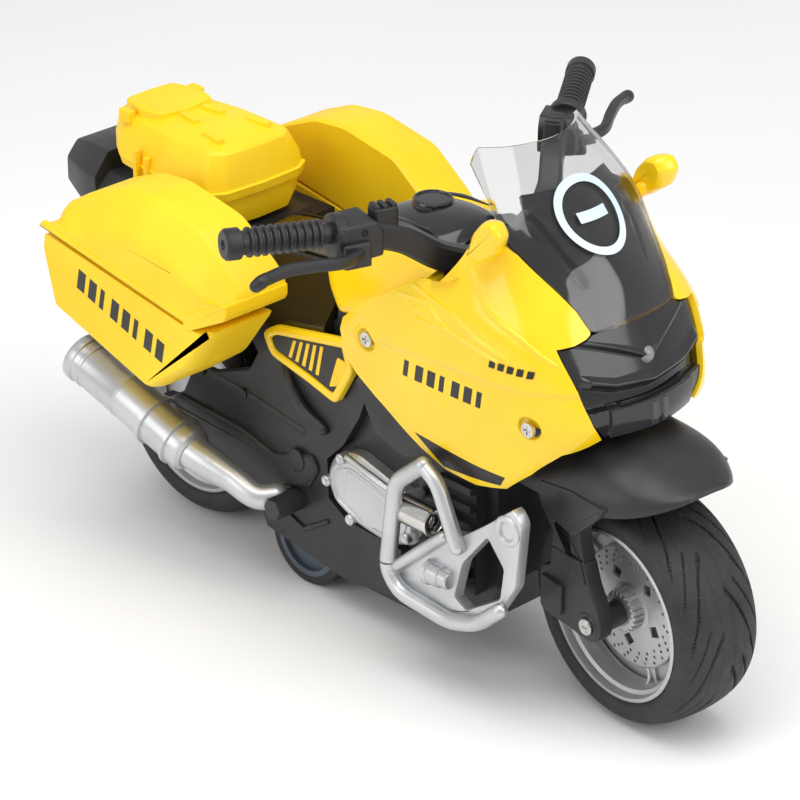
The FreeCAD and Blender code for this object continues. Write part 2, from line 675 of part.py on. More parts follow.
def drilled(disc, x):
    """Ring of small holes through the disc."""
    holes = []
    for ring, radius in enumerate((11.0, 13.6)):
        for i in range(15):
            angle = math.radians(24 * i + 12 * ring)
            holes.append(cross_rod(x + radius * math.cos(angle), AXLE_Z + radius * math.sin(angle),
                                   -20, 20, 0.7))
    return disc.cut(holes)


def brake_discs(x):
    return Part.makeCompound([drilled(brake_disc(x, side), x) for side in (-1, 1)])


def wheel_axle(x, half_length):
    return cross_rod(x, AXLE_Z, -half_length, half_length, AXLE_RADIUS)


def pan_screw(start, direction, length):
    """Pan-head screw with a cross slot; start is under the head."""
    head = Part.makeCylinder(SCREW_HEAD_RADIUS, SCREW_HEAD_HEIGHT, V(0, 0, 0), UP)
    shank = Part.makeCylinder(SCREW_SHANK_RADIUS, length, V(0, 0, -length), UP)
    top = SCREW_HEAD_HEIGHT
    half = SCREW_SLOT_WIDTH / 2
    arm = SCREW_HEAD_RADIUS * 0.6
    slots = [block(-arm, arm, -half, half, top - 0.4, top + 1),
             block(-half, half, -arm, arm, top - 0.4, top + 1)]
    screw = joined([head, shank]).cut(slots)
    turn = FreeCAD.Rotation(UP, V(*direction))
    screw.Placement = FreeCAD.Placement(V(*start), turn)
    return screw


def front_axle():
    """Axle with a slotted head at each end."""
    outer = LEG_INNER + LEG_THICKNESS
    top = outer + AXLE_HEAD_HEIGHT
    axle = joined([wheel_axle(FRONT_AXLE_X, outer + 0.2),
                   cross_rod(FRONT_AXLE_X, AXLE_Z, -top, -outer, AXLE_HEAD_RADIUS),
                   cross_rod(FRONT_AXLE_X, AXLE_Z, outer, top, AXLE_HEAD_RADIUS)])
    slots = [block(FRONT_AXLE_X - 1.3, FRONT_AXLE_X + 1.3, y - 0.5, y + 0.5, AXLE_Z - 0.3, AXLE_Z + 0.3)
             for y in (-top, top)]
    return axle.cut(slots)


# ------------------------------------------------------------- fork

def from_axle(points):
    return [(FRONT_AXLE_X + x, z * RISE) for x, z in points]


def fork_leg():
    outline = from_axle([
        (-18, 58), (-18, 64), (-6, 64), (-3, 61), (-3, 53), (0.5, 41), (4, 34), (4, 28), (0.5, 25.5),
        (-6, 26.5), (-17, 27), (-18, 39), (-14, 41), (-13, 51),
    ])
    outer = LEG_INNER + LEG_THICKNESS
    leg = side_prism(outline, -outer, -LEG_INNER)
    notch = from_axle([(-8, 58), (-11.5, 53), (-6.5, 47.5)])
    window = side_prism(notch, -outer - 1, -LEG_INNER + 1)
    caliper = block(FRONT_AXLE_X - 16.5, FRONT_AXLE_X - 9, -outer - 1.2, -outer + 0.5, 29 * RISE, 38 * RISE)
    spacer = cross_rod(FRONT_AXLE_X, AXLE_Z, -LEG_INNER - 0.5, -HUB_HALF_WIDTH - 0.15, SPACER_RADIUS)
    return joined([leg, caliper, spacer]).cut([window, wheel_axle(FRONT_AXLE_X, 30)])


def steering_stem():
    """Crown plate with the raked stem that turns in the headstock."""
    low = FRONT_AXLE_X - 25
    high = FRONT_AXLE_X - 6
    outer = LEG_INNER + LEG_THICKNESS
    top = CROWN_BOTTOM_Z + CROWN_THICKNESS
    crown = block(low, high, -outer, outer, CROWN_BOTTOM_Z, top)
    stem = rod(steering_point(top - 2), steering_point(STEM_TOP_Z), STEM_RADIUS)
    return joined([crown, stem])


def stem_cap():
    """Washer-head screw that keeps the stem in the headstock."""
    start = V(*steering_point(STEM_TOP_Z))
    direction = steering_direction()
    head = Part.makeCylinder(STEM_CAP_RADIUS, STEM_CAP_THICKNESS, start, direction)
    dimple = Part.makeCylinder(1.4, 1.0, start + direction * (STEM_CAP_THICKNESS - 0.7), direction)
    return head.cut(dimple)


def mudguard_stations(shrink):
    """Arched sections from the back edge to the tip."""
    stations = []
    rows = ((-27, 20.3, 61, 74), (-12, 20.3, 62, 75.6), (3, 19.6, 63, 76), (15, 14.5, 65.5, 73.4),
            (21.5, 7.0, 68, 71.2))
    for x, half, edge, top in rows:
        half = half - shrink
        top = top * RISE - shrink
        low = edge * RISE
        shoulder = low + (top - low) * 0.62
        crest = low + (top - low) * 0.92
        bottom = low - shrink
        outline = [(-half, bottom), (-half, shoulder), (-half * 0.6, crest), (0, top),
                   (half * 0.6, crest), (half, shoulder), (half, bottom)]
        stations.append((FRONT_AXLE_X + x, outline))
    return stations


def mudguard_skirt():
    """Side guard that hangs in front of one fork leg."""
    outline = from_axle([(-15, 64), (9, 66.5), (-3, 53.6), (-15, 56)])
    outer = 20.3
    return side_prism(outline, -outer, -outer + MUDGUARD_WALL)


def front_mudguard():
    outer = section_loft(mudguard_stations(0))
    inner_rows = mudguard_stations(MUDGUARD_WALL)
    first = (inner_rows[0][0] - 1, inner_rows[0][1])
    shell = outer.cut(section_loft([first] + inner_rows[1:-1]))
    pad_top = CROWN_BOTTOM_Z + CROWN_THICKNESS
    pad = block(FRONT_AXLE_X - 21, FRONT_AXLE_X - 9, -9, 9, pad_top, 76 * RISE)
    pad = pad.common(outer)
    skirts = [mudguard_skirt(), other_side(mudguard_skirt())]
    guard = shell.fuse([pad] + skirts)
    slot = rod(steering_point(60 * RISE), steering_point(85 * RISE), STEM_RADIUS + LOOSE_GAP)
    return solids_only(guard.cut(slot).removeSplitter())


def steered(shape):
    """Turn a fork piece from straight ahead to the rest angle."""
    turned_shape = shape.copy()
    turned_shape.rotate(V(FRONT_AXLE_X, 0, AXLE_Z), steering_direction(), STEER_REST_DEG)
    return turned_shape


# ------------------------------------------------------------- handlebar

def bar_point(x, y, z):
    return (x * STRETCH, y, z * RISE)


def handlebar_yoke():
    hub = Part.makeCylinder(YOKE_RADIUS, YOKE_TOP_Z - YOKE_BOTTOM_Z, V(POST_X, 0, YOKE_BOTTOM_Z), UP)
    pieces = [hub]
    for side in (-1, 1):
        points = [bar_point(27, side * 3, 114), bar_point(24, side * 20, 117.5),
                  bar_point(18, side * 34, 122.5),
                  bar_point(11.6, side * 48, 124.6), bar_point(1, side * 67, 125.4)]
        pieces.append(tube_path(points, BAR_RADIUS))
    bore = Part.makeCylinder(POST_RADIUS + RUNNING_GAP, YOKE_TOP_Z - YOKE_BOTTOM_Z - 2.5,
                             V(POST_X, 0, YOKE_BOTTOM_Z - 0.5), UP)
    return joined(pieces).cut(bore)


def bar_grip():
    """Ribbed sleeve on the rider's right end of the bar."""
    inner = V(*bar_point(10.6, -49.8, 124.6))
    outer = V(*bar_point(-1, -71.4, 125.6))
    along = outer - inner
    length = along.Length
    sleeve = Part.makeCylinder(GRIP_RADIUS, length, inner, along)
    pieces = [sleeve]
    pitch = length / (GRIP_RIBS + 1)
    for i in range(GRIP_RIBS):
        at = inner + along * ((i + 0.7) * pitch / length)
        pieces.append(Part.makeCylinder(GRIP_RADIUS + GRIP_RIB_HEIGHT, pitch * 0.5, at, along))
    core = tube_path([bar_point(18, -34, 122.5), bar_point(11.6, -48, 124.6), bar_point(1, -67, 125.4)],
                     BAR_RADIUS)
    return joined(pieces).cut(core)


def bar_controls():
    """Switch housing with its reservoir, clamped round the bar, with the lever that it carries."""
    housing = block(-5, 5, -4.5, 4.5, -5.5, 5.0)
    reservoir = block(-1, 8, -4.0, 5.5, 3.5, 10.5)
    cap = block(-0.4, 7.4, -3.4, 4.9, 10.0, 11.6)
    group = joined([housing, reservoir, cap])
    group.rotate(V(0, 0, 0), UP, 28)
    group.translate(V(*bar_point(14.6, -42, 124.0)))
    core = tube_path([bar_point(24, -20, 117.5), bar_point(18, -34, 122.5), bar_point(11.6, -48, 124.6),
                      bar_point(1, -67, 125.4)], BAR_RADIUS)
    group = joined([group, bar_lever()])
    return solids_only(group.cut([core, bar_grip_clearance()]))


def bar_grip_clearance():
    inner = V(*bar_point(10.6, -49.8, 124.6))
    outer = V(*bar_point(-1, -71.4, 125.6))
    return Part.makeCylinder(GRIP_RADIUS + 1.0, (outer - inner).Length, inner, outer - inner)


def bar_lever():
    """Lever blade in front of the grip, hinged on the housing."""
    root = bar_point(21.5, -44, 122)
    points = [root, bar_point(20.5, -52, 119), bar_point(15.5, -61, 116.5), bar_point(8.0, -67.5, 117)]
    blade = tube_path(points, 1.35)
    knob = ball(points[-1], 1.9)
    return joined([blade, knob])


def turned_bar(shape):
    turned_shape = shape.copy()
    turned_shape.rotate(V(POST_X, 0, 0), UP, HANDLEBAR_REST_DEG)
    return turned_shape


# ------------------------------------------------------------- front bodywork

def level_wire(z, half_outline, depth):
    """Smooth outline at one height, moved inwards by the depth and closed across the back."""
    right = [(x * STRETCH, -y * SPREAD) for x, y in reversed(half_outline)]
    left = [(x * STRETCH, y * SPREAD) for x, y in half_outline[1:]]
    points = right + left
    shifted = []
    for i, point in enumerate(points):
        before = points[max(i - 1, 0)]
        after = points[min(i + 1, len(points) - 1)]
        normal = edge_normal(before, after, 1.0)
        back = -1.5 * depth if i in (0, len(points) - 1) else 0
        shifted.append(V(point[0] + normal[0] * depth + back, point[1] + normal[1] * depth, z * RISE))
    curve = Part.BSplineCurve()
    curve.interpolate(shifted)
    closing = Part.makeLine(shifted[-1], shifted[0])
    return Part.Wire([curve.toShape(), closing])


def envelope(depth):
    """The body behind every front panel, as a solid, at a given depth under the surface."""
    wires = [level_wire(z, outline, depth) for z, outline in ENVELOPE_LEVELS]
    return Part.makeLoft(wires, True, True)


def skin(outer_depth, inner_depth):
    return envelope(outer_depth).cut(envelope(inner_depth))


def nose_front_outline(edge_gap):
    """Front view of the black nose and screen, between the two fairings."""
    right = [(-15.6, 74), (-19.3, 83.3), (-22.2, 92), (-23.6, 102), (-14.6, 104), (-17, 110), (-21, 118),
             (-23.9, 126.5), (-26, 144)]
    grown = [((y + edge_gap) * SPREAD, z * RISE) for y, z in right]
    return grown + [(-y, z) for y, z in reversed(grown)]


def fairing_outline():
    return flat([
        (33, 109), (36, 113), (40, 118), (44, 122), (50, 127), (62, 122), (76, 110), (92, 103), (92, 86),
        (74, 78), (53, 60), (34, 59), (17, 68), (5, 76), (-1, 85), (0, 89), (5, 94), (28, 109),
    ])


def mirror_pod():
    """Ear-shaped mirror moulded on the top corner of the fairing."""
    outline = flat([(43, 120), (45.5, 127), (49, 131), (53, 131.5), (55, 128), (53, 123), (47, 119)])
    pod = side_prism(outline, -31.5 * SPREAD, -25.5 * SPREAD)
    long_edges = [e for e in pod.Edges if e.Length > 5.5 and abs(e.tangentAt(e.FirstParameter).y) > 0.99]
    return pod.makeChamfer(1.0, long_edges)


def fairing():
    """Rider's right fairing, with counterbored screw seats."""
    wall = skin(0, FAIRING_WALL)
    panel = wall.common(side_prism(fairing_outline(), -45, -8))
    panel = panel.cut(front_prism(nose_front_outline(0), 40 * STRETCH, 110))
    panel = solids_only(panel)
    neck = rod((46 * STRETCH, -23.0 * SPREAD, 118 * RISE), (49 * STRETCH, -27.6 * SPREAD, 124 * RISE), 2.0)
    neck = neck.cut(envelope(FAIRING_WALL))
    neck = neck.cut(front_prism(nose_front_outline(0), 40 * STRETCH, 110))
    panel = joined([panel, mirror_pod(), neck])
    return solids_only(panel.cut(screw_holes() + screw_seats()))


def screw_holes():
    return [cross_rod(x * STRETCH, z * RISE, -60, -12, SCREW_SHANK_RADIUS) for x, z in FAIRING_SCREWS]


def screw_seats():
    """Flat-bottomed wells that take the screw heads in the outer face."""
    seats = []
    for x, z in FAIRING_SCREWS:
        floor_y = fairing_surface(x * STRETCH, z * RISE) + FAIRING_SEAT_DEPTH
        seats.append(cross_rod(x * STRETCH, z * RISE, -60, floor_y, COUNTERBORE_RADIUS))
    return seats


def fairing_screws():
    group = []
    for x, z in FAIRING_SCREWS:
        seat = fairing_surface(x * STRETCH, z * RISE) + FAIRING_SEAT_DEPTH
        screw = pan_screw((x * STRETCH, seat, z * RISE), (0, -1, 0), SCREW_LENGTH)
        group += [screw, other_side(screw)]
    return Part.makeCompound(group)


def fairing_surface(x, z):
    """The y of the fairing's outer face at one place, found along a line across the machine."""
    line = cross_rod(x, z, -60, 0, SCREW_HEAD_RADIUS).common(envelope(0))
    return line.optimalBoundingBox(True, False).YMin


def windshield():
    side_view = flat([(33.8, 141.7), (52, 141.7), (82, 125), (82, 104.4), (60, 104.4), (47.5, 119),
                      (46.8, 125.8), (34.0, 137.8)])
    pane = skin(0, 1.2).common(side_prism(side_view, -40, 40))
    return solids_only(pane.common(front_prism(nose_front_outline(SEAM), 20 * STRETCH, 110)))


def nose_slot(side):
    """Long scoop beside the badge."""
    top = (52.8 * STRETCH, side * 15.1, 127.8 * RISE)
    low = (64.6 * STRETCH, side * 11.6, 115.0 * RISE)
    return tube_path([top, low], 1.5)


def nose_upper():
    """Black panel under the clear screen."""
    side_view = flat([(52, 131), (80, 131), (86, 104.2), (56, 104.2), (49, 119), (48.2, 124.5)])
    panel = skin(1.5, 3.0).common(side_prism(side_view, -40, 40))
    panel = panel.common(front_prism(nose_front_outline(SEAM), 20 * STRETCH, 110))
    panel = panel.cut([nose_slot(-1), nose_slot(1)])
    return solids_only(panel)


def nose_lower():
    """Headlight panel with its lip, down to the nose's lower edge."""
    side_view = flat([(60, 104.2), (86, 104.2), (86, 76), (70, 76)])
    panel = skin(0.4, 3.0).common(side_prism(side_view, -40, 40))
    panel = panel.common(front_prism(nose_front_outline(SEAM), 20 * STRETCH, 110))
    ledge = envelope(0.4).cut(envelope(6.0)).common(front_prism(nose_front_outline(SEAM), 20 * STRETCH, 110))
    ledge = ledge.common(block(50, 110, -40, 40, 102.6 * RISE, 104.2 * RISE))
    step = envelope(0.4).cut(envelope(6.0)).common(front_prism(nose_front_outline(SEAM), 20 * STRETCH, 110))
    step = step.common(block(50, 110, -40, 40, 86 * RISE, 90 * RISE))
    pane = block(60, 110, -12, 12, 78.6 * RISE, 85.5 * RISE)
    return solids_only(joined([panel, ledge, step] + nose_bracket()).cut([led_hole(), pane]))


def led_hole():
    return rod(led_place(-8), led_place(12), LED_RADIUS + SEAM)


def led_place(distance):
    """A point on the lamp's axis, which tips up a little."""
    return (69.9 * STRETCH + distance * 0.94, 0, 94 * RISE + distance * 0.34)


def headlight_led():
    dome = ball(led_place(4.2), LED_RADIUS)
    base = rod(led_place(-4), led_place(4.2), LED_RADIUS)
    return joined([dome, base])


def lamp_lens():
    """Clear strip across the bottom of the nose."""
    window = block(60, 110, -12 + SEAM, 12 - SEAM, 78.6 * RISE + SEAM, 85.5 * RISE - SEAM)
    strip = skin(0.8, 2.4).common(window)
    bar = skin(0.3, 2.0).common(block(60, 110, -2.0, 2.0, 79.6 * RISE, 84.5 * RISE))
    return solids_only(joined([strip, bar]))


def nose_bracket():
    """Web that carries the nose, screen and lamp on the headstock."""
    web = block(66 * STRETCH, 90 * STRETCH, -9, 9, HEADSTOCK_BOTTOM_Z + 3, HEADSTOCK_TOP_Z - 6)
    web = web.common(envelope(2.9))
    post = block(44 * STRETCH, 50 * STRETCH, -4, 4, HEADSTOCK_TOP_Z, 121 * RISE).common(envelope(2.9))
    shelf = block(44 * STRETCH, 70 * STRETCH, -9, 9, 107 * RISE, 109.5 * RISE).common(envelope(2.9))
    return [web.cut(rod(led_place(-8), led_place(12), LED_RADIUS + 0.6)), post, shelf]


# ------------------------------------------------------------- tank and seat

def tank_cover():
    rows = ((-14, 11, 7, 103, 107.5), (-4, 13.5, 10, 105, 111.5), (8, 14, 11, 106, 113),
            (20, 13, 9, 103, 110.5))
    stations = []
    for x, low_half, top_half, side, top in rows:
        outline = [(-low_half, 96), (-low_half, side), (-top_half, top - 1.2), (0, top),
                   (top_half, top - 1.2), (low_half, side), (low_half, 96)]
        stations.append((x * STRETCH, [(y, z * RISE) for y, z in outline]))
    body = section_loft(stations)
    hollow = block(-10 * STRETCH, 17 * STRETCH, -9, 9, 90 * RISE, 103 * RISE)
    cap = Part.makeCylinder(5.0, 2.4, V(3 * STRETCH, 0, 111.6 * RISE), UP)
    return joined([body.cut(hollow), cap])


def tank_side():
    outline = flat([(-16, 97), (-11, 84), (18, 90), (22, 98), (21, 106), (8, 107.5), (-8, 104)])
    outer = BODY_HALF_WIDTH + 2.6
    plate = side_prism(outline, -outer, -BODY_HALF_WIDTH - SEAM)
    flange = side_prism(flat([(-13, 96.1), (19.5, 96.1), (19.5, 104.5), (8, 106), (-8, 102.6)]),
                        -BODY_HALF_WIDTH - 0.3, -BODY_HALF_WIDTH + 2.4)
    x, z = FAIRING_SCREWS[0]
    post = cross_rod(x * STRETCH, z * RISE, -40, -7, COUNTERBORE_RADIUS + SEAM)
    return joined([plate, flange]).cut(post)


def tank_surround():
    """Yellow saddle round the tank: both sides and the strap behind the tank."""
    side = tank_side()
    reach = BODY_HALF_WIDTH + 1
    strap = block(-16 * STRETCH, -14.2 * STRETCH, -reach, reach, 93.4 * RISE, 98 * RISE)
    return joined([side, other_side(side), strap])


def seat_cover():
    rows = ((-57.5, 9, 19, 88, 78), (-36, 10, 20.4, 91, 72), (-15.2, 10, 20.4, 93, 75))
    stations = []
    for x, top_half, low_half, top, low in rows:
        outline = [(-low_half, low), (-low_half, low + 4), (-top_half, top), (top_half, top),
                   (low_half, low + 4), (low_half, low)]
        stations.append((x * STRETCH, [(y, z * RISE) for y, z in outline]))
    body = section_loft(stations)
    body = body.cut(block(-80 * STRETCH, 0, -BODY_HALF_WIDTH - SEAM, BODY_HALF_WIDTH + SEAM, 0, 80 * RISE))
    seat_x = -49.8 * STRETCH
    well = Part.makeCylinder(SCREW_HEAD_RADIUS + 0.5, 10, V(seat_x, 0, 87.6 * RISE), UP)
    hole = Part.makeCylinder(SCREW_SHANK_RADIUS, 30, V(seat_x, 0, 75 * RISE), UP)
    relief = block(-60 * STRETCH, -30 * STRETCH, -25, -BODY_HALF_WIDTH - 0.1, 60 * RISE, 75.9 * RISE)
    return solids_only(body.cut([well, hole, relief, other_side(relief)]))


def seat_screw():
    return pan_screw((-49.8 * STRETCH, 0, 87.6 * RISE), (0, 0, 1), 6.0)


def side_panel():
    """Yellow panel under the seat with a stepped field for its trim."""
    outline = flat([(-36, 71.6), (-32, 74.5), (-5, 79.5), (-2.5, 71.5), (-9, 60), (-19, 63), (-33, 66)])
    inner = -BODY_HALF_WIDTH - FRAME_RELIEF - 0.6
    plate = side_prism(outline, inner - 2.2, inner)
    field = side_prism(inset(outline, 2.0), inner - 3, inner - 1.7)
    pad = side_prism(flat([(-30, 70.5), (-12, 70.5), (-12, 66), (-30, 68)]), inner, inner + 0.6)
    return joined([plate.cut(field), pad])


# ------------------------------------------------------------- luggage and tail

def pannier_body_outline():
    return flat([(-93, 89.6), (-95, 85), (-90.5, 68), (-53, 56.3), (-38, 67), (-27, 82), (-37, 80.4)])


def pannier_lid_outline():
    return flat([(-93.5, 90.2), (-90, 96), (-80, 102), (-68, 107), (-57, 108), (-38, 104.5), (-25, 95),
                 (-22, 92), (-22, 88), (-36.6, 81)])


def scaled_about(outline, factor):
    cx = sum(x for x, z in outline) / len(outline)
    cz = sum(z for x, z in outline) / len(outline)
    return [(cx + (x - cx) * factor, cz + (z - cz) * factor) for x, z in outline]


def side_loft(layers):
    """Ruled solid through (y, [(x, z), ...]) layers."""
    wires = []
    for y, outline in layers:
        corners = [V(x, y, z) for x, z in outline]
        wires.append(Part.makePolygon(corners + corners[:1]))
    return Part.makeLoft(wires, True, True)


def case_layers(outline, outer_shrink):
    mid = PANNIER_INNER + (PANNIER_OUTER - PANNIER_INNER) * 0.72
    outer = scaled_about(outline, outer_shrink)
    return [(-PANNIER_INNER, outline), (-mid, outline), (-PANNIER_OUTER, outer)]


def pannier_body():
    outer = side_loft(case_layers(pannier_body_outline(), 0.86))
    inside = [(y + (CASE_WALL if y == -PANNIER_OUTER else -CASE_WALL if y == -PANNIER_INNER else 0),
               inset(outline, CASE_WALL)) for y, outline in case_layers(pannier_body_outline(), 0.86)]
    return outer.cut(side_loft(inside))


def pannier_lid():
    layers = case_layers(pannier_lid_outline(), 0.84)
    outer = side_loft(layers)
    inside = [(y + (CASE_WALL if y == -PANNIER_OUTER else -CASE_WALL if y == -PANNIER_INNER else 0),
               inset(outline, CASE_WALL)) for y, outline in layers]
    return outer.cut(side_loft(inside))


def top_case_body():
    outline = flat([(-104, 97), (-104, 93), (-92, 88), (-60, 88), (-60, 97)])
    base = side_prism(outline, -16.5, 16.5)
    hollow = side_prism(inset(outline, CASE_WALL), -16.5 + CASE_WALL, 16.5 - CASE_WALL)
    feet = block(-90 * STRETCH, -68 * STRETCH, -12, 12, 87 * RISE, 88.3 * RISE)
    return joined([base.cut(hollow), feet])


def top_case_lid():
    low = 97.1 * RISE
    mid = 104 * RISE
    top = 110.5 * RISE
    rows = [(low, -107.0, -58.0, 18.0), (mid, -107.5, -59.0, 17.5), (top, -105.5, -62.5, 13.5)]
    outer = stacked(rows)
    inner = stacked([(low + CASE_WALL, -105.5, -59.5, 16.5), (mid, -106, -60.5, 16.0),
                     (top - CASE_WALL, -104, -64, 12.0)])
    step = block(-103 * STRETCH, -84 * STRETCH, -9, 9, top - 0.5, top + 1.6 * RISE)
    ends = [e for e in step.Edges if e.Length > 10 and e.BoundBox.ZMin > top + 1]
    return joined([outer.cut(inner), step.makeChamfer(1.0, ends)])


def stacked(rows):
    """Ruled solid through (z, rear x, front x, half width) rectangles with clipped corners."""
    wires = []
    for z, rear, front, half in rows:
        cut = 3.5
        rear = rear * STRETCH
        front = front * STRETCH
        plan = [(rear + cut, -half), (front - cut, -half), (front, -half + cut), (front, half - cut),
                (front - cut, half), (rear + cut, half), (rear, half - cut), (rear, -half + cut)]
        corners = [V(x, y, z) for x, y in plan]
        wires.append(Part.makePolygon(corners + corners[:1]))
    return Part.makeLoft(wires, True, True)


def tail_unit():
    """Lamp housing behind the luggage."""
    rows = ((-100.1, 16.5, 74, 95.5), (-113, 16.5, 75, 97), (-126, 11.5, 80, 94))
    stations = []
    for x, half, low, high in rows:
        chamfer = (high - low) * 0.28
        outline = [(-half * 0.6, low), (-half, low + chamfer), (-half, high - chamfer), (-half * 0.7, high),
                   (half * 0.7, high), (half, high - chamfer), (half, low + chamfer), (half * 0.6, low)]
        stations.append((x * STRETCH, [(y, z * RISE) for y, z in outline]))
    body = section_loft(stations)
    window = block(-127 * STRETCH, -124.4 * STRETCH, -8.5, 8.5, 83.5 * RISE, 90.5 * RISE)
    notch = block(-108 * STRETCH, -99 * STRETCH, -20, 20, 90.9 * RISE, 99 * RISE)
    return body.cut([window, notch])


def tail_lens():
    return block(-126 * STRETCH, -124.4 * STRETCH, -8.5 + SEAM, 8.5 - SEAM, 83.5 * RISE + SEAM,
                 90.5 * RISE - SEAM)


# ------------------------------------------------------------- engine, guards, exhaust

def engine_cover():
    """Silver side cover of the engine, rider's right."""
    outline = flat([(-9, 46), (-13, 42), (-14, 37), (-12, 32), (-3, 28.4), (11, 27.5), (20, 30), (24, 38),
                    (16, 45), (-3, 47.5)])
    inner = -BODY_HALF_WIDTH - SEAM
    base = side_prism(outline, inner - 3.4, inner)
    raised = side_loft([(inner - 3.2, scaled_about(outline, 0.92)),
                        (inner - 6.0, scaled_about(outline, 0.78))])
    drum = cross_rod(8 * STRETCH, 38 * RISE, inner - 8.0, inner - 2, 5.2)
    bosses = [cross_rod(x * STRETCH, z * RISE, inner - 6.8, inner - 3, 1.5)
              for x, z in ((-8, 40), (-4, 31.5))]
    return joined([base, raised, drum] + bosses)


def engine_casting():
    """Finned black engine side ahead of the silver cover."""
    outline = flat([(20.5, 29), (30, 24), (39, 24), (39, 56), (27, 57), (18, 50), (24.6, 38.4)])
    side = -BODY_HALF_WIDTH
    pieces = [side_prism(outline, side - 3.6, side + 1)]
    for z in (28, 33, 38, 43, 48, 53):
        fin = block(27 * STRETCH, 38.5 * STRETCH, side - 5.2, side - 3.4, z * RISE - 1, z * RISE + 1)
        pieces.append(fin)
    return joined(pieces)




def guard_route(points):
    return [(x * STRETCH, -GUARD_PLANE, z * RISE) for x, z in points]


def crash_bar():
    """Tube loop with its triangular plate, peg and hollow lamp boss, rider's right."""
    loop = tube_path(guard_route(GUARD_LOOP), GUARD_TUBE_RADIUS)
    strut = tube_path(guard_route(GUARD_STRUT), GUARD_TUBE_RADIUS)
    near = -GUARD_PLANE + 4.6
    plate = side_prism(flat(GUARD_PLATE), near - PLATE_THICKNESS, near)
    plate = plate.cut(side_prism(flat(GUARD_WINDOW), near - 5, near + 2))
    boss_x = 26.5 * STRETCH
    boss_z = 44.5 * RISE
    boss = rod((boss_x + 5.5, -27.6, boss_z), (boss_x - 5.5, -27.6, boss_z), 3.3)
    cup = rod((boss_x + 7, -27.6, boss_z), (boss_x + 1.5, -27.6, boss_z), 2.2)
    web = block(boss_x - 5, boss_x + 0.3, -27.5, -BODY_HALF_WIDTH - 3.9, boss_z - 2.2, boss_z + 2.2)
    peg = rod((34 * STRETCH, -GUARD_PLANE, 33 * RISE), (42 * STRETCH, -GUARD_PLANE, 33 * RISE), 2.4)
    peg_stay = block(38 * STRETCH, 41 * STRETCH, -GUARD_PLANE, near - 1, 30 * RISE, 36 * RISE)
    stays = [rod((x * STRETCH, -GUARD_PLANE, z * RISE), (x * STRETCH, -BODY_HALF_WIDTH - 5.3, z * RISE), 1.9)
             for x, z in ((31, 54), (32, 26.5))]
    bar = joined([loop, strut, plate, boss, web, peg, peg_stay] + stays)
    block_clearance = side_prism(flat([(10, 20), (60, 20), (60, 60), (10, 60)]), -BODY_HALF_WIDTH - 3.7, 0)
    bar = bar.cut([cup, block_clearance])
    return solids_only(bar)


def exhaust():
    """Silencer with its tip, collar rings, cone and head pipe, rider's right."""
    tip = exhaust_point(EXHAUST_TIP)
    waist = exhaust_point(EXHAUST_WAIST)
    head = exhaust_point(EXHAUST_HEAD)
    sleeve_end = between(tip, waist, 0.18)
    cone_start = between(tip, waist, 0.84)
    pieces = [rod(tip, sleeve_end, TIP_RADIUS), rod(sleeve_end, cone_start, MUFFLER_RADIUS),
              taper(cone_start, waist, MUFFLER_RADIUS, HEADER_RADIUS + 1.0)]
    for share in (0.40, 0.46, 0.70, 0.76, 0.82):
        ring = rod(between(tip, waist, share), between(tip, waist, share + 0.025), MUFFLER_RADIUS + 0.5)
        pieces.append(ring)
    pieces += [rod(waist, head, HEADER_RADIUS), ball(waist, HEADER_RADIUS + 1.0), ball(head, HEADER_RADIUS)]
    hanger_x = REAR_AXLE_X + 9
    swing_side = SWINGARM_INNER + SWINGARM_THICKNESS + SEAM
    hanger = block(hanger_x - 2, hanger_x + 2, -33, -swing_side, AXLE_Z - 1.0, AXLE_Z + 4.4)
    pieces.append(hanger)
    pipe = joined(pieces)
    bore = rod(between(tip, waist, -0.05), between(tip, waist, 0.5), TIP_RADIUS - 1.8)
    return solids_only(pipe.cut(bore))


def exhaust_point(place):
    x, y, z = place
    return (x * STRETCH, -y, z * RISE)


def between(a, b, share):
    return tuple(p + (q - p) * share for p, q in zip(a, b))


def chassis_screw_holes():
    return [cross_rod(x * STRETCH, z * RISE, -40, 40, SCREW_SHANK_RADIUS) for x, z in CHASSIS_SCREW_PLACES]


def body_screws():
    """Screws that close the two halves from the rider's left, and the one in the seat."""
    group = []
    for x, z in CHASSIS_SCREW_PLACES:
        face = BODY_HALF_WIDTH
        group.append(pan_screw((x * STRETCH, face, z * RISE), (0, 1, 0), face * 2 - 4))
    group.append(seat_screw())
    return Part.makeCompound(group)


def both_sides(name, shape):
    return {name + "_right": shape, name + "_left": other_side(shape)}


def body_parts():
    parts = both_sides("chassis", chassis_half())
    parts["body_screws"] = body_screws()
    parts["belly_cover"] = belly_cover()
    parts["switch_slider"] = switch_slider()
    parts["battery_pack"] = battery_pack()
    parts["circuit_board"] = circuit_board()
    parts["drive_motors"] = Part.makeCompound([drive_motor(1, -1), drive_motor(-1, 1)])
    parts["tank_cover"] = tank_cover()
    parts["tank_surround"] = tank_surround()
    parts["seat_cover"] = seat_cover()
    parts.update(both_sides("side_panel", side_panel()))
    parts.update(both_sides("engine_cover", engine_cover()))
    parts.update(both_sides("crash_bar", crash_bar()))
    parts.update(both_sides("exhaust", exhaust()))
    return parts


def front_parts():
    parts = both_sides("fairing", fairing())
    parts["fairing_screws"] = fairing_screws()
    parts["windshield"] = windshield()
    parts["nose_upper"] = nose_upper()
    parts["nose_lower"] = nose_lower()
    parts["headlight_led"] = headlight_led()
    parts["lamp_lens"] = lamp_lens()
    return parts


def luggage_parts():
    parts = both_sides("pannier_body", pannier_body())
    parts.update(both_sides("pannier_lid", pannier_lid()))
    parts["top_case_body"] = top_case_body()
    parts["top_case_lid"] = top_case_lid()
    parts["tail_unit"] = tail_unit()
    parts["tail_lens"] = tail_lens()
    return parts


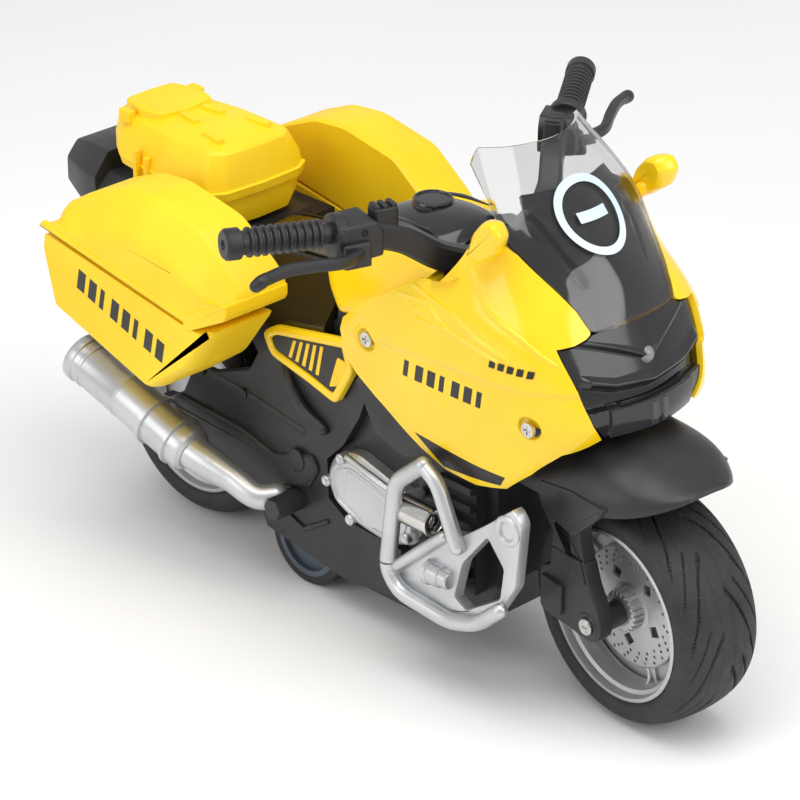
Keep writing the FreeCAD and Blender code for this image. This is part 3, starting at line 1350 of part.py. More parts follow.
def steering_parts():
    """Fork and front wheel, turned together to the rest angle."""
    parts = both_sides("fork_leg", fork_leg())
    parts["steering_stem"] = steering_stem()
    parts["stem_cap"] = stem_cap()
    parts["front_mudguard"] = front_mudguard()
    parts["front_axle"] = front_axle()
    parts["front_tyre"] = tyre(FRONT_AXLE_X)
    parts["front_rim"] = rim(FRONT_AXLE_X)
    parts["front_discs"] = brake_discs(FRONT_AXLE_X)
    return {name: steered(shape) for name, shape in parts.items()}


def rear_parts():
    parts = {"rear_tyre": tyre(REAR_AXLE_X), "rear_rim": rim(REAR_AXLE_X)}
    parts["rear_axle"] = wheel_axle(REAR_AXLE_X, SWINGARM_INNER + SWINGARM_THICKNESS)
    parts.update(both_sides("drive_wheel", drive_wheel()))
    parts.update(both_sides("drive_tyre", drive_tyre()))
    parts["drive_gear_right"] = drive_gear()
    parts["drive_gear_left"] = other_side_gear()
    parts["pinion_right"] = drive_pinion()
    parts["pinion_left"] = other_side_pinion()
    return parts


def handlebar_parts():
    parts = {"handlebar_yoke": handlebar_yoke()}
    parts.update(both_sides("grip", bar_grip()))
    parts.update(both_sides("bar_controls", bar_controls()))
    return {name: turned_bar(shape) for name, shape in parts.items()}


def main():
    os.makedirs("parts", exist_ok=True)
    groups = (body_parts, front_parts, luggage_parts, steering_parts, rear_parts, handlebar_parts)
    for group in groups:
        for name, shape in group().items():
            shape.exportStep("parts/" + name + ".step")


main()
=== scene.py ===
"""Looks of the toy motorcycle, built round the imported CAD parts.

Lengths in this script are millimetres and become metres when a mesh is made. +X is forward, +Y the
rider's left, +Z up, and the origin is on the ground midway between the axles.
"""
import json
import math

import bpy
import numpy as np
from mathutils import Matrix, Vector


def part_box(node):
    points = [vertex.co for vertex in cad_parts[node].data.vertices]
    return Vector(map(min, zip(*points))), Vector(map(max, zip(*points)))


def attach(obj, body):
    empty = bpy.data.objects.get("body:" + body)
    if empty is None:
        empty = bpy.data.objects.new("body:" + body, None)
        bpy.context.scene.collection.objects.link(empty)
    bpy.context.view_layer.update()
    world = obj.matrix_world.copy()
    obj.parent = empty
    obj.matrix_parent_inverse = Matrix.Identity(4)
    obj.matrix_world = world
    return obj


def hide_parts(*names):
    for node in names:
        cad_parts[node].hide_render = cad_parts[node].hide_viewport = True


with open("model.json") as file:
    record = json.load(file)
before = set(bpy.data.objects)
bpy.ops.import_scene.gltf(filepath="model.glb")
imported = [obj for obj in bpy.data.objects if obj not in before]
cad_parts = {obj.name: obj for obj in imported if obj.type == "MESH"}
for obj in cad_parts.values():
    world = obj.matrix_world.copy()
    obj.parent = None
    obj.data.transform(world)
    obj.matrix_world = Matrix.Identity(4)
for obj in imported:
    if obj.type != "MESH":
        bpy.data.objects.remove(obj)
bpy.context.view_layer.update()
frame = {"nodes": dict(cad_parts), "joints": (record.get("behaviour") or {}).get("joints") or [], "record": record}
joints = {j["name"]: j for j in frame["joints"]}


def corners(node):
    lo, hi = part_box(node)
    return np.array(lo) * 1000, np.array(hi) * 1000


# ------------------------------------------------------------------ numbers taken from the frame
FRONT_AXLE = np.array(joints["front_wheel_spin"]["pos_m"]) * 1000
REAR_AXLE = np.array(joints["rear_wheel_spin"]["pos_m"]) * 1000
POST = np.array(joints["handlebar_turn"]["pos_m"]) * 1000
STEER_AXIS = np.array(joints["steering"]["axis"])
WHEEL_AXIS = np.array(joints["front_wheel_spin"]["axis"])
STEER_REST = math.asin(-WHEEL_AXIS[0] / math.cos(math.radians(20)))
BAR_REST = math.radians(7.8)
TYRE_R = corners("rear_tyre")[1][2] / 2


def turned(points, centre, axis, angle):
    """Rodrigues' rotation: p cos a + (k x p) sin a + k (k.p)(1 - cos a), about a line through the centre."""
    p = np.asarray(points, float) - centre
    k = np.asarray(axis, float) / np.linalg.norm(axis)
    c, s = math.cos(angle), math.sin(angle)
    return p * c + np.cross(k, p) * s + np.outer(p @ k, k).reshape(p.shape) * (1 - c) + centre


def steer(points):
    """Turn points with the fork, from straight ahead to its rest angle."""
    return turned(points, FRONT_AXLE, STEER_AXIS, STEER_REST)


def bar_turn(points):
    """Turn points with the handlebar, from straight ahead to its rest angle."""
    return turned(points, POST, (0, 0, 1), BAR_REST)


# ------------------------------------------------------------------ materials
def material(name, dark, light, rough=(0.3, 0.4), grain=900, grain_height=0.15, patch=45, metallic=0.0,
             coat=0.0, transmission=0.0, ior=1.47, specks=None, scratches=0.0, subsurface=0.0):
    """Principled finish: two mixed colours, uneven roughness, fine grain, optional specks and scratches."""
    m = bpy.data.materials.new(name)
    m.use_nodes = True
    nt = m.node_tree
    nt.nodes.clear()
    new = nt.nodes.new
    link = nt.links.new
    out = new("ShaderNodeOutputMaterial")
    bsdf = new("ShaderNodeBsdfPrincipled")
    place = new("ShaderNodeTexCoord")
    link(bsdf.outputs[0], out.inputs[0])

    def noise(scale, detail=3.0, roughness=0.5):
        n = new("ShaderNodeTexNoise")
        n.inputs["Scale"].default_value = scale
        n.inputs["Detail"].default_value = detail
        n.inputs["Roughness"].default_value = roughness
        link(place.outputs["Object"], n.inputs["Vector"])
        return n

    def spread(source, low, high, to_low, to_high):
        r = new("ShaderNodeMapRange")
        r.inputs["From Min"].default_value = low
        r.inputs["From Max"].default_value = high
        r.inputs["To Min"].default_value = to_low
        r.inputs["To Max"].default_value = to_high
        link(source, r.inputs["Value"])
        return r.outputs[0]

    def blend(factor, a, b):
        x = new("ShaderNodeMix")
        x.data_type = "RGBA"
        link(factor, x.inputs["Factor"])
        for value, socket in ((a, x.inputs["A"]), (b, x.inputs["B"])):
            if isinstance(value, tuple):
                socket.default_value = (*value, 1)
            else:
                link(value, socket)
        return x.outputs["Result"]

    colour = blend(spread(noise(patch).outputs["Fac"], 0.35, 0.65, 0, 1), dark, light)
    roughness = spread(noise(patch * 3.1, 5).outputs["Fac"], 0.3, 0.7, *rough)
    height = noise(grain, 4, 0.6).outputs["Fac"]
    if scratches:
        stretch = new("ShaderNodeMapping")
        stretch.inputs["Scale"].default_value = (90, 1600, 1600)
        link(place.outputs["Object"], stretch.inputs["Vector"])
        lines = new("ShaderNodeTexNoise")
        lines.inputs["Scale"].default_value = 1.0
        lines.inputs["Detail"].default_value = 6
        link(stretch.outputs[0], lines.inputs["Vector"])
        colour = blend(spread(lines.outputs["Fac"], 0.62, 0.72, 0, scratches), colour, light)
    if specks:
        tint, size, amount = specks
        cells = new("ShaderNodeTexVoronoi")
        cells.inputs["Scale"].default_value = size
        link(place.outputs["Object"], cells.inputs["Vector"])
        dot = spread(cells.outputs["Distance"], 0.0, amount, 1, 0)
        colour = blend(dot, colour, tint)
    bump = new("ShaderNodeBump")
    bump.inputs["Strength"].default_value = grain_height
    bump.inputs["Distance"].default_value = 0.0002
    link(height, bump.inputs["Height"])
    link(bump.outputs[0], bsdf.inputs["Normal"])
    link(colour, bsdf.inputs["Base Color"])
    link(roughness, bsdf.inputs["Roughness"])
    bsdf.inputs["Metallic"].default_value = metallic
    bsdf.inputs["IOR"].default_value = ior
    bsdf.inputs["Coat Weight"].default_value = coat
    bsdf.inputs["Coat Roughness"].default_value = 0.06
    bsdf.inputs["Transmission Weight"].default_value = transmission
    if subsurface:
        bsdf.inputs["Subsurface Weight"].default_value = subsurface
        bsdf.inputs["Subsurface Scale"].default_value = 0.001
        bsdf.inputs["Subsurface Radius"].default_value = (1.0, 0.6, 0.1)
    return m


FINISH = {
    "yellow_gloss": material("yellow gloss", (0.96, 0.62, 0.004), (1.0, 0.69, 0.008), (0.16, 0.24), 500,
                             0.03, 30, coat=0.35, specks=((0.75, 0.46, 0.01), 260, 0.035)),
    "yellow_satin": material("yellow satin", (0.95, 0.61, 0.004), (1.0, 0.69, 0.01), (0.42, 0.52), 2600,
                             0.16, 35, specks=((0.78, 0.5, 0.02), 200, 0.03)),
    "black_satin": material("black satin", (0.016, 0.016, 0.018), (0.026, 0.026, 0.029), (0.34, 0.46), 2200,
                            0.22, 60, specks=((0.16, 0.16, 0.17), 330, 0.03)),
    "black_gloss": material("black gloss", (0.011, 0.011, 0.013), (0.018, 0.018, 0.021), (0.1, 0.2), 700,
                            0.05, 50, coat=0.3, specks=((0.22, 0.22, 0.23), 300, 0.03)),
    "seat_black": material("seat smoked black", (0.012, 0.010, 0.006), (0.024, 0.019, 0.009), (0.12, 0.22),
                           800, 0.05, 25, coat=0.3, specks=((0.15, 0.14, 0.12), 260, 0.03)),
    "smoked_clear": material("smoked clear", (0.70, 0.70, 0.70), (0.76, 0.76, 0.76), (0.01, 0.04), 300,
                             0.01, 30, transmission=1.0, ior=1.45),
    "clear": material("clear", (0.30, 0.31, 0.32), (0.40, 0.41, 0.42), (0.03, 0.09), 400, 0.03, 40,
                      transmission=0.85, ior=1.45),
    "lamp_smoke": material("smoked lamp strip", (0.045, 0.047, 0.05), (0.075, 0.078, 0.082), (0.06, 0.14),
                           400, 0.03, 40, transmission=0.5, ior=1.45),
    "silver_paint": material("silver paint", (0.52, 0.53, 0.54), (0.62, 0.63, 0.64), (0.30, 0.40), 2400,
                             0.10, 60, metallic=0.8, coat=0.1, specks=((0.3, 0.3, 0.31), 300, 0.03)),
    "bright_plating": material("bright plating", (0.50, 0.51, 0.52), (0.60, 0.61, 0.62), (0.34, 0.44), 1800,
                               0.10, 60, metallic=0.75, specks=((0.35, 0.36, 0.37), 280, 0.03)),
    "disc_plating": material("disc plating", (0.52, 0.53, 0.54), (0.60, 0.61, 0.62), (0.32, 0.42), 1800,
                             0.12, 70, metallic=0.75),
    "chrome": material("chrome boss", (0.62, 0.61, 0.58), (0.72, 0.71, 0.68), (0.10, 0.18), 900, 0.04, 60,
                       metallic=1.0, specks=((0.2, 0.2, 0.2), 300, 0.03)),
    "tyre_rubber": material("tyre rubber", (0.018, 0.018, 0.020), (0.030, 0.030, 0.033), (0.55, 0.7), 3000,
                            0.35, 90, specks=((0.42, 0.42, 0.42), 750, 0.075)),
    "steel": material("steel", (0.50, 0.49, 0.46), (0.68, 0.67, 0.64), (0.2, 0.34), 1600, 0.12, 400,
                      metallic=1.0, scratches=0.5),
    "grey_plastic": material("blue grey plastic", (0.07, 0.09, 0.11), (0.10, 0.125, 0.15), (0.35, 0.5),
                             1500, 0.15),
    "gear_plastic": material("gear plastic", (0.75, 0.75, 0.72), (0.85, 0.85, 0.82), (0.35, 0.45), 1500,
                             0.1),
    "brass": material("brass", (0.55, 0.38, 0.14), (0.68, 0.48, 0.2), (0.2, 0.3), 1500, 0.1, metallic=1.0),
    "board_green": material("board green", (0.01, 0.12, 0.03), (0.02, 0.18, 0.05), (0.3, 0.4), 900, 0.1),
    "cell_wrap": material("cell wrap", (0.02, 0.06, 0.30), (0.03, 0.09, 0.38), (0.2, 0.35), 700, 0.1),
    "lamp_red": material("lamp red", (0.35, 0.01, 0.01), (0.5, 0.02, 0.015), (0.1, 0.2), 600, 0.05,
                         coat=0.4),
    "led_clear": material("lamp epoxy", (0.20, 0.21, 0.19), (0.30, 0.31, 0.28), (0.08, 0.2), 700, 0.05,
                          coat=0.5),
    "badge": material("badge pale", (0.60, 0.74, 0.84), (0.70, 0.82, 0.90), (0.3, 0.4), 900, 0.05, 60),
    "decal": material("decal black", (0.010, 0.009, 0.008), (0.02, 0.018, 0.015), (0.25, 0.4), 900, 0.1,
                      80),
    "decal_yellow": material("decal yellow", (0.90, 0.56, 0.004), (0.98, 0.64, 0.008), (0.25, 0.35), 900,
                             0.05, 80),
}
SHOWN = {"front_discs": "disc_plating", "seat_cover": "seat_black"}
slots = {s["node"]: s["material_slot"] for s in frame["record"]["subparts"]}
for node, obj in frame["nodes"].items():
    obj.data.materials.clear()
    obj.data.materials.append(FINISH[SHOWN.get(node, slots[node])])


# ------------------------------------------------------------------ mesh tools
def quads(rows, cols, wrap_rows=False, wrap_cols=False, start=0):
    """Faces of a grid whose vertices run along the columns first."""
    i = np.arange(rows if wrap_rows else rows - 1)[:, None]
    j = np.arange(cols if wrap_cols else cols - 1)[None, :]
    i2, j2 = (i + 1) % rows, (j + 1) % cols
    f = np.stack(np.broadcast_arrays(i * cols + j, i2 * cols + j, i2 * cols + j2, i * cols + j2), -1)
    return (f.reshape(-1, 4) + start).tolist()


def chunk(points, faces, finish=0):
    """Points, faces and finish of one closed shape, from a grid or a list of points."""
    return np.asarray(points, float).reshape(-1, 3), faces, finish


def flipped(c):
    """The same shape with its faces turned round."""
    return c[0], [f[::-1] for f in c[1]], c[2]


def mirrored(c):
    """The same shape on the other side of the middle plane."""
    return c[0] * (1, -1, 1), [f[::-1] for f in c[1]], c[2]


def piece(name, chunks, finishes, body, replaces=(), bevel=0.0, segments=2, sharp=38, move=None,
          limit=35):
    """One named mesh that rides on a body, made of any number of closed chunks."""
    verts, faces, indices, start = [], [], [], 0
    for points, fs, finish in chunks:
        points = move(points) if move else points
        verts.append(points)
        faces += [[k + start for k in f] for f in fs]
        indices += [finish] * len(fs) if isinstance(finish, int) else list(finish)
        start += len(points)
    me = bpy.data.meshes.new(name)
    me.from_pydata((np.concatenate(verts) / 1000).tolist(), [], faces)
    me.polygons.foreach_set("material_index", np.array(indices, np.int32))
    me.polygons.foreach_set("use_smooth", np.ones(len(faces), bool))
    for f in finishes:
        me.materials.append(FINISH[f])
    me.update()
    me.set_sharp_from_angle(angle=math.radians(sharp))
    ob = bpy.data.objects.new(name, me)
    bpy.context.scene.collection.objects.link(ob)
    if bevel:
        b = ob.modifiers.new("edge", "BEVEL")
        b.width = bevel / 1000
        b.segments = segments
        b.limit_method = "ANGLE"
        b.angle_limit = math.radians(limit)
        b.use_clamp_overlap = True
        b.harden_normals = False
    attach(ob, body)
    if replaces:
        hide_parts(*replaces)
    return ob


def hermite(knots, values, at):
    """Cubic through the knots with centred slopes, flat beyond the ends."""
    knots = np.asarray(knots, float)
    values = np.asarray(values, float)
    slopes = np.gradient(values, knots, axis=0)
    k = np.clip(np.searchsorted(knots, at, side="right") - 1, 0, len(knots) - 2)
    h = knots[k + 1] - knots[k]
    t = np.clip((at - knots[k]) / h, 0, 1)
    shape = t.shape + (1,) * (values.ndim - 1)
    t, h = t.reshape(shape), h.reshape(shape)
    a, b = values[k], values[k + 1]
    return ((2 * t**3 - 3 * t**2 + 1) * a + (t**3 - 2 * t**2 + t) * h * slopes[k]
            + (3 * t**2 - 2 * t**3) * b + (t**3 - t**2) * h * slopes[k + 1])


def along(points, count, smooth=False):
    """Evenly spaced points on a polyline, or on a smooth curve through it."""
    p = np.asarray(points, float)
    d = np.concatenate([[0], np.cumsum(np.linalg.norm(np.diff(p, axis=0), axis=1))])
    at = np.linspace(0, d[-1], count)
    if smooth:
        return hermite(d, p, at)
    return np.stack([np.interp(at, d, p[:, i]) for i in range(p.shape[1])], -1)


def sweep(path, radius, sides=20, dome=True, smooth=True, count=None, squash=1.0, up=(0, 0, 1)):
    """Circle of the given radius carried along a path, with domed or flat ends."""
    p = np.asarray(path, float)
    if smooth or count:
        p = along(p, count or 10 * len(p), smooth)
    r = np.atleast_1d(np.asarray(radius, float))
    r = np.interp(np.linspace(0, 1, len(p)), np.linspace(0, 1, len(r)),
                  r) if len(r) > 1 else np.full(len(p), r[0])
    tangent = np.gradient(p, axis=0)
    tangent /= np.linalg.norm(tangent, axis=1)[:, None]
    side = np.cross(tangent, up)
    side /= np.linalg.norm(side, axis=1)[:, None]
    top = np.cross(side, tangent)
    if dome:
        bend = np.linspace(0, math.pi / 2, 6)[1:]
        start = [(p[0] - tangent[0] * r[0] * math.sin(b), r[0] * math.cos(b), 0) for b in bend[::-1]]
        end = [(p[-1] + tangent[-1] * r[-1] * math.sin(b), r[-1] * math.cos(b), -1) for b in bend]
    else:
        start = [(p[0], r[0] * k, 0) for k in (0.0, 0.9)]
        end = [(p[-1], r[-1] * k, -1) for k in (0.9, 0.0)]
    rings = [(c, q, side[i], top[i]) for c, q, i in start]
    rings += [(p[i], r[i], side[i], top[i]) for i in range(len(p))]
    rings += [(c, q, side[i], top[i]) for c, q, i in end]
    a = np.linspace(0, 2 * math.pi, sides, endpoint=False)
    grid = [c + q * (np.outer(np.cos(a), s) + np.outer(np.sin(a) * squash, t)) for c, q, s, t in rings]
    return chunk(np.array(grid), quads(len(rings), sides, wrap_cols=True))


def lathe(profile, centre, axis=(0, 1, 0), steps=72):
    """Closed outline of (distance along the axis, radius) pairs turned about the axis."""
    axis = np.asarray(axis, float) / np.linalg.norm(axis)
    ref = np.array((1, 0, 0)) if abs(axis[0]) < 0.9 else np.array((0, 0, 1))
    u = ref - axis * (ref @ axis)
    u /= np.linalg.norm(u)
    v = np.cross(axis, u)
    a = np.linspace(0, 2 * math.pi, steps, endpoint=False)
    rim = np.cos(a)[:, None] * u + np.sin(a)[:, None] * v
    prof = np.asarray(profile, float)
    pts = np.asarray(centre, float) + prof[:, 0][:, None, None] * axis + prof[:, 1][:, None,
                                                                                    None] * rim[None]
    return chunk(pts, [f[::-1] for f in quads(len(prof), steps, wrap_cols=True)])


def closed_lathe(profile, centre, axis=(0, 1, 0), steps=72):
    """A lathe whose outline is a ring round an opening, such as a rim or washer."""
    c = lathe(list(profile) + [profile[0]], centre, axis, steps)
    n = len(profile)
    return chunk(c[0][: n * steps], [f[::-1] for f in quads(n, steps, wrap_rows=True, wrap_cols=True)])


def rounded(outline, radius, steps=4):
    """Closed outline with each corner replaced by a short curve."""
    p = np.asarray(outline, float)
    out = []
    for i in range(len(p)):
        here, before, after = p[i], p[i - 1], p[(i + 1) % len(p)]
        a, b = before - here, after - here
        la, lb = np.linalg.norm(a), np.linalg.norm(b)
        r = min(radius, la * 0.45, lb * 0.45)
        s, e = here + a / la * r, here + b / lb * r
        for t in np.linspace(0, 1, steps):
            out.append((1 - t) ** 2 * s + 2 * t * (1 - t) * here + t**2 * e)
    return np.array(out)


def grown(outline, by):
    """Closed outline moved outwards, or inwards for a negative amount."""
    p = np.asarray(outline, float)
    area = np.sum(p[:, 0] * np.roll(p[:, 1], -1) - np.roll(p[:, 0], -1) * p[:, 1])
    e1 = p - np.roll(p, 1, 0)
    e2 = np.roll(p, -1, 0) - p
    e1 /= np.maximum(np.linalg.norm(e1, axis=1), 1e-9)[:, None]
    e2 /= np.maximum(np.linalg.norm(e2, axis=1), 1e-9)[:, None]
    n = np.stack([e1[:, 1] + e2[:, 1], -e1[:, 0] - e2[:, 0]], -1)
    n /= np.maximum(np.sum(n * n, 1) / 2, 0.6)[:, None]
    return p + n * by * (1 if area > 0 else -1)


def layered(rings):
    """Closed skin through rings of equal count, with a flat face on each end."""
    n = len(rings[0])
    pts = np.concatenate([np.asarray(r, float) for r in rings])
    faces = quads(len(rings), n, wrap_cols=True)
    faces.append(list(range(n))[::-1])
    faces.append(list(range((len(rings) - 1) * n, len(rings) * n)))
    return chunk(pts, faces)


def oriented(c):
    """Turn the faces outwards, judged by the signed volume of the closed chunk."""
    pts, faces, finish = c
    volume = 0.0
    for size in {len(f) for f in faces}:
        group = pts[np.array([f for f in faces if len(f) == size])]
        for i in range(1, size - 1):
            volume += np.sum(group[:, 0] * np.cross(group[:, i], group[:, i + 1]))
    return c if volume > 0 else flipped(c)


def slab(outline, y_in, y_out, edge=0.5, corner=0.6, both=False, plane="xz"):
    """Flat plate with an outline in a plane and softened edges on its outer face."""
    base = rounded(outline, corner) if corner else np.asarray(outline, float)
    sign = 1 if y_out > y_in else -1
    steps = [(1 - math.cos(a), math.sin(a)) for a in np.linspace(0, math.pi / 2, 4)]
    rings = []
    if both:
        for inset, rise in steps[::-1]:
            rings.append((grown(base, -edge * rise), y_in + sign * edge * inset))
    else:
        rings.append((base, y_in))
    for inset, rise in steps:
        rings.append((grown(base, -edge * inset), y_out - sign * edge * (1 - rise)))
    return oriented(layered([lift(r, y, plane) for r, y in rings]))


def lift(flat, level, plane="xz"):
    """Put a flat outline into space at one level of the third axis."""
    full = np.full(len(flat), level)
    order = {"xz": (flat[:, 0], full, flat[:, 1]), "xy": (flat[:, 0], flat[:, 1], full),
             "yz": (full, flat[:, 0], flat[:, 1])}[plane]
    return np.stack(order, -1)


def brick(lo, hi, edge=0.4):
    """Box with softened edges and corners."""
    lo, hi = np.array(lo, float), np.array(hi, float)
    flat = np.array([(lo[0], lo[1]), (hi[0], lo[1]), (hi[0], hi[1]), (lo[0], hi[1])])
    return slab(flat, lo[2], hi[2], edge, edge * 1.5, both=True, plane="xy")


def normals(grid):
    """Unit normals of a grid from the cross product of its two directions."""
    n = np.cross(np.gradient(grid, axis=0), np.gradient(grid, axis=1))
    return n / np.maximum(np.linalg.norm(n, axis=2), 1e-9)[..., None]


def panel(grid, thickness, away=(0, 0, 0)):
    """Closed sheet of even thickness behind a grid; away is a point on its inner side."""
    n = normals(grid)
    outward = np.sum(n * (grid - np.asarray(away)), axis=2).mean()
    n = n if outward > 0 else -n
    inner = grid - n * thickness
    rows, cols = grid.shape[:2]
    pts = np.concatenate([grid.reshape(-1, 3), inner.reshape(-1, 3)])
    faces = quads(rows, cols) + [f[::-1] for f in quads(rows, cols, start=rows * cols)]
    loop = ([(0, j) for j in range(cols)] + [(i, cols - 1) for i in range(1, rows)]
            + [(rows - 1, j) for j in range(cols - 2, -1, -1)] + [(i, 0) for i in range(rows - 2, 0, -1)])
    index = [i * cols + j for i, j in loop]
    k = rows * cols
    for a, b in zip(index, index[1:] + index[:1]):
        faces.append([b, a, a + k, b + k])
    return oriented(chunk(pts, faces))


def coons(bottom, top, left, right, rows, cols, stretch=(1, 1)):
    """Transfinite patch between four sides; bottom and top run along, left and right run across."""
    w = np.array(stretch, float)
    b, t = along(np.array(bottom) * w, cols) / w, along(np.array(top) * w, cols) / w
    l, r = along(np.array(left) * w, rows) / w, along(np.array(right) * w, rows) / w
    u = np.linspace(0, 1, cols)[None, :, None]
    v = np.linspace(0, 1, rows)[:, None, None]
    edges = (1 - v) * b[None] + v * t[None] + (1 - u) * l[:, None] + u * r[:, None]
    corner = (1 - u) * (1 - v) * b[0] + u * (1 - v) * b[-1] + (1 - u) * v * t[0] + u * v * t[-1]
    return edges - corner


# ------------------------------------------------------------------ the surface behind all front panels
LEVELS = (54, 68, 78, 91, 103, 114, 126, 142)
KNOTS = (
    ((58, 0), (57, 12), (53, 20.5), (44, 24.5), (26, 25), (10, 25), (-6, 24)),
    ((71, 0), (69, 13), (63, 23.5), (49, 27.5), (28, 28), (10, 27.5), (-6, 26)),
    ((79.7, 0), (77, 14), (72, 24), (56, 29), (32, 30), (12, 29.5), (-6, 27.5)),
    ((78.4, 0), (76.5, 15), (71.5, 24.5), (58, 30), (34, 31), (12, 30), (-6, 27)),
    ((72.4, 0), (70.8, 14.5), (66, 24.5), (54, 29.3), (34, 29.6), (12, 28), (-6, 24.5)),
    ((67, 0), (64.8, 11.5), (60, 20), (51, 25.5), (36, 26.5), (14, 25), (-4, 21)),
    ((56.6, 0), (54.3, 11.5), (51, 19), (47, 23.2), (36, 24.2), (18, 22), (2, 18)),
    ((42, 0), (40.4, 8), (37.5, 13.5), (33.5, 17), (26, 18), (14, 16), (4, 14)),
)
ROUND = np.array([[(x, -y) for x, y in row[::-1]] + list(row[1:]) for row in KNOTS], float)
ROUND_AT = np.linspace(-1, 1, ROUND.shape[1])


def skin(s, z):
    """Front body surface: s runs from -1 at the right rear, through 0 at the nose, to 1; z is the height."""
    s, z = np.broadcast_arrays(np.asarray(s, float), np.asarray(z, float))
    around = hermite(ROUND_AT, ROUND.transpose(1, 0, 2), s.ravel())
    slopes = np.gradient(around, np.array(LEVELS, float), axis=1)
    k = np.clip(np.searchsorted(LEVELS, z.ravel(), side="right") - 1, 0, len(LEVELS) - 2)
    lv = np.array(LEVELS, float)
    h = (lv[k + 1] - lv[k])[:, None]
    t = ((z.ravel() - lv[k]) / h[:, 0])[:, None]
    n = np.arange(len(k))
    a, b, sa, sb = around[n, k], around[n, k + 1], slopes[n, k], slopes[n, k + 1]
    xy = ((2 * t**3 - 3 * t**2 + 1) * a + (t**3 - 2 * t**2 + t) * h * sa
          + (3 * t**2 - 2 * t**3) * b + (t**3 - t**2) * h * sb)
    return np.concatenate([xy, z.ravel()[:, None]], 1).reshape(s.shape + (3,))


def by_x(x, z):
    """Place (s, z) on the right side of the surface at a given x and height."""
    s = np.linspace(-1, 0, 500)
    xs = skin(s, np.full(500, float(z)))[:, 0]
    return (float(np.interp(x, xs, s)), z)


def by_y(y, z):
    """Place (s, z) on the right of the surface's nose at a given half width and height."""
    s = np.linspace(0, -0.62, 400)
    ys = np.maximum.accumulate(-skin(s, np.full(400, float(z)))[:, 1])
    return (float(np.interp(y, ys, s)), z)


def near_line(x, z, line):
    """Distance from points to a polyline in the side view."""
    best = np.full(np.shape(x), 1e9)
    for (x0, z0), (x1, z1) in zip(line, line[1:]):
        dx, dz = x1 - x0, z1 - z0
        t = np.clip(((x - x0) * dx + (z - z0) * dz) / (dx * dx + dz * dz), 0, 1)
        best = np.minimum(best, np.hypot(x - x0 - t * dx, z - z0 - t * dz))
    return best


def step(v):
    """Smooth rise from 0 to 1 as t runs from 0 to 1."""
    v = np.clip(v, 0, 1)
    return v * v * (3 - 2 * v)


# ------------------------------------------------------------------ fairings
SCREWS = ((9.4, 86.9), (63.2, 81.1))
NOSE_EDGE = [(15.6, 78.2), (19.3, 83.3), (21.0, 88), (22.2, 93), (23.6, 102)]
NOTCH = [(23.6, 102), (19.5, 102.4), (16.2, 103.2), (14.9, 103.9), (14.6, 104.6)]
SCREEN_EDGE = [(14.6, 104.6), (16.0, 109), (19.0, 115), (21.8, 121), (23.9, 126.0)]
RIDGES = (
    [(42, 115), (50, 107.5), (60, 103.6), (68.6, 98.5)],
    [(20, 103), (30, 104), (37, 99.5), (28, 98.8)],
    [(27, 101.5), (40, 99), (55, 96.6)],
    [(25, 106.5), (38, 104), (47, 100.5), (57, 98.0)],
)


def fairing_grid():
    """Right fairing: a patch between its rear corner, lower front corner, notch and mirror root.

    Ridges stand 0.22 mm proud, the belly below the low crease is drawn in by up to 0.8 mm, and the
    screw seats are round dishes 1.1 mm deep.
    """
    low = [by_x(-1, 86), by_x(1, 80), by_x(5, 76), by_x(11, 71.6), by_x(17, 68), by_x(26, 62.6),
           by_x(34, 59.2), by_x(44, 58.6), by_x(53, 60.4), by_x(61, 67), by_x(70, 74.6), by_y(16.4, 78.6)]
    right = [by_y(*p) for p in [(16.4, 78.6)] + NOSE_EDGE[1:] + NOTCH[1:]]
    top = [by_x(40, 119.5), by_x(44, 123)] + [by_y(*p) for p in SCREEN_EDGE[::-1]]
    left = [by_x(-1, 86), by_x(0, 89.4), by_x(5, 94), by_x(16, 101.4), by_x(28, 108.8), by_x(33, 109.6),
            by_x(36, 113.4), by_x(40, 119.5)]
    flat = coons(low, top, left, right, 190, 230, (60, 1))
    grid = skin(flat[..., 0], flat[..., 1])
    n = normals(grid)
    n *= np.sign(np.sum(n * (grid - (20, 0, 90)), axis=2).mean())
    x, z = grid[..., 0], grid[..., 2]
    crease = np.interp(x, [-5, 12, 35, 52, 78], [84, 89, 91, 91.4, 92.6])
    lift_by = -0.8 * step((crease - z) / 2.2) * step((z - 62) / 16) * step((x - 2) / 14)
    for line in RIDGES:
        lift_by += 0.36 * np.exp(-(near_line(x, z, line) / 0.42) ** 2)
    lift_by += 0.5 * np.exp(-(near_line(x, z, [(30, 80), (34, 79)]) / 2.2) ** 6) * 0.35
    for sx, sz in SCREWS:
        d = np.hypot(x - sx, z - sz)
        lift_by += -1.15 * step((3.1 - d) / 0.45) + 0.18 * np.exp(-((d - 3.5) / 0.4) ** 2)
    return grid + n * lift_by[..., None]


def mirror_chunks():
    """Ear-shaped mirror on the fairing's top corner, with a soft rim and a short neck."""
    ear = [(43.2, 120.4), (45.3, 126.6), (48.6, 130.6), (52.6, 131.3), (54.9, 128.2), (53.4, 123.6),
           (47.6, 119.4)]
    base = rounded(ear, 1.3, 5)
    rings = []
    for y, by in ((-25.7, -1.1), (-26.1, -0.6), (-27.0, -0.15), (-28.8, 0.0), (-30.4, -0.2), (-31.1, -0.6),
                  (-31.4, -1.1)):
        rings.append(lift(grown(base, by) + (0.25 * (-25.7 - y), 0.1 * (-25.7 - y)), y))
    neck = sweep([(43.5, -22.8, 116.5), (46, -24.8, 119.6), (48.4, -27, 122.8)], (3.2, 2.5, 2.2),
                 squash=0.8)
    return [oriented(layered(rings)), neck]


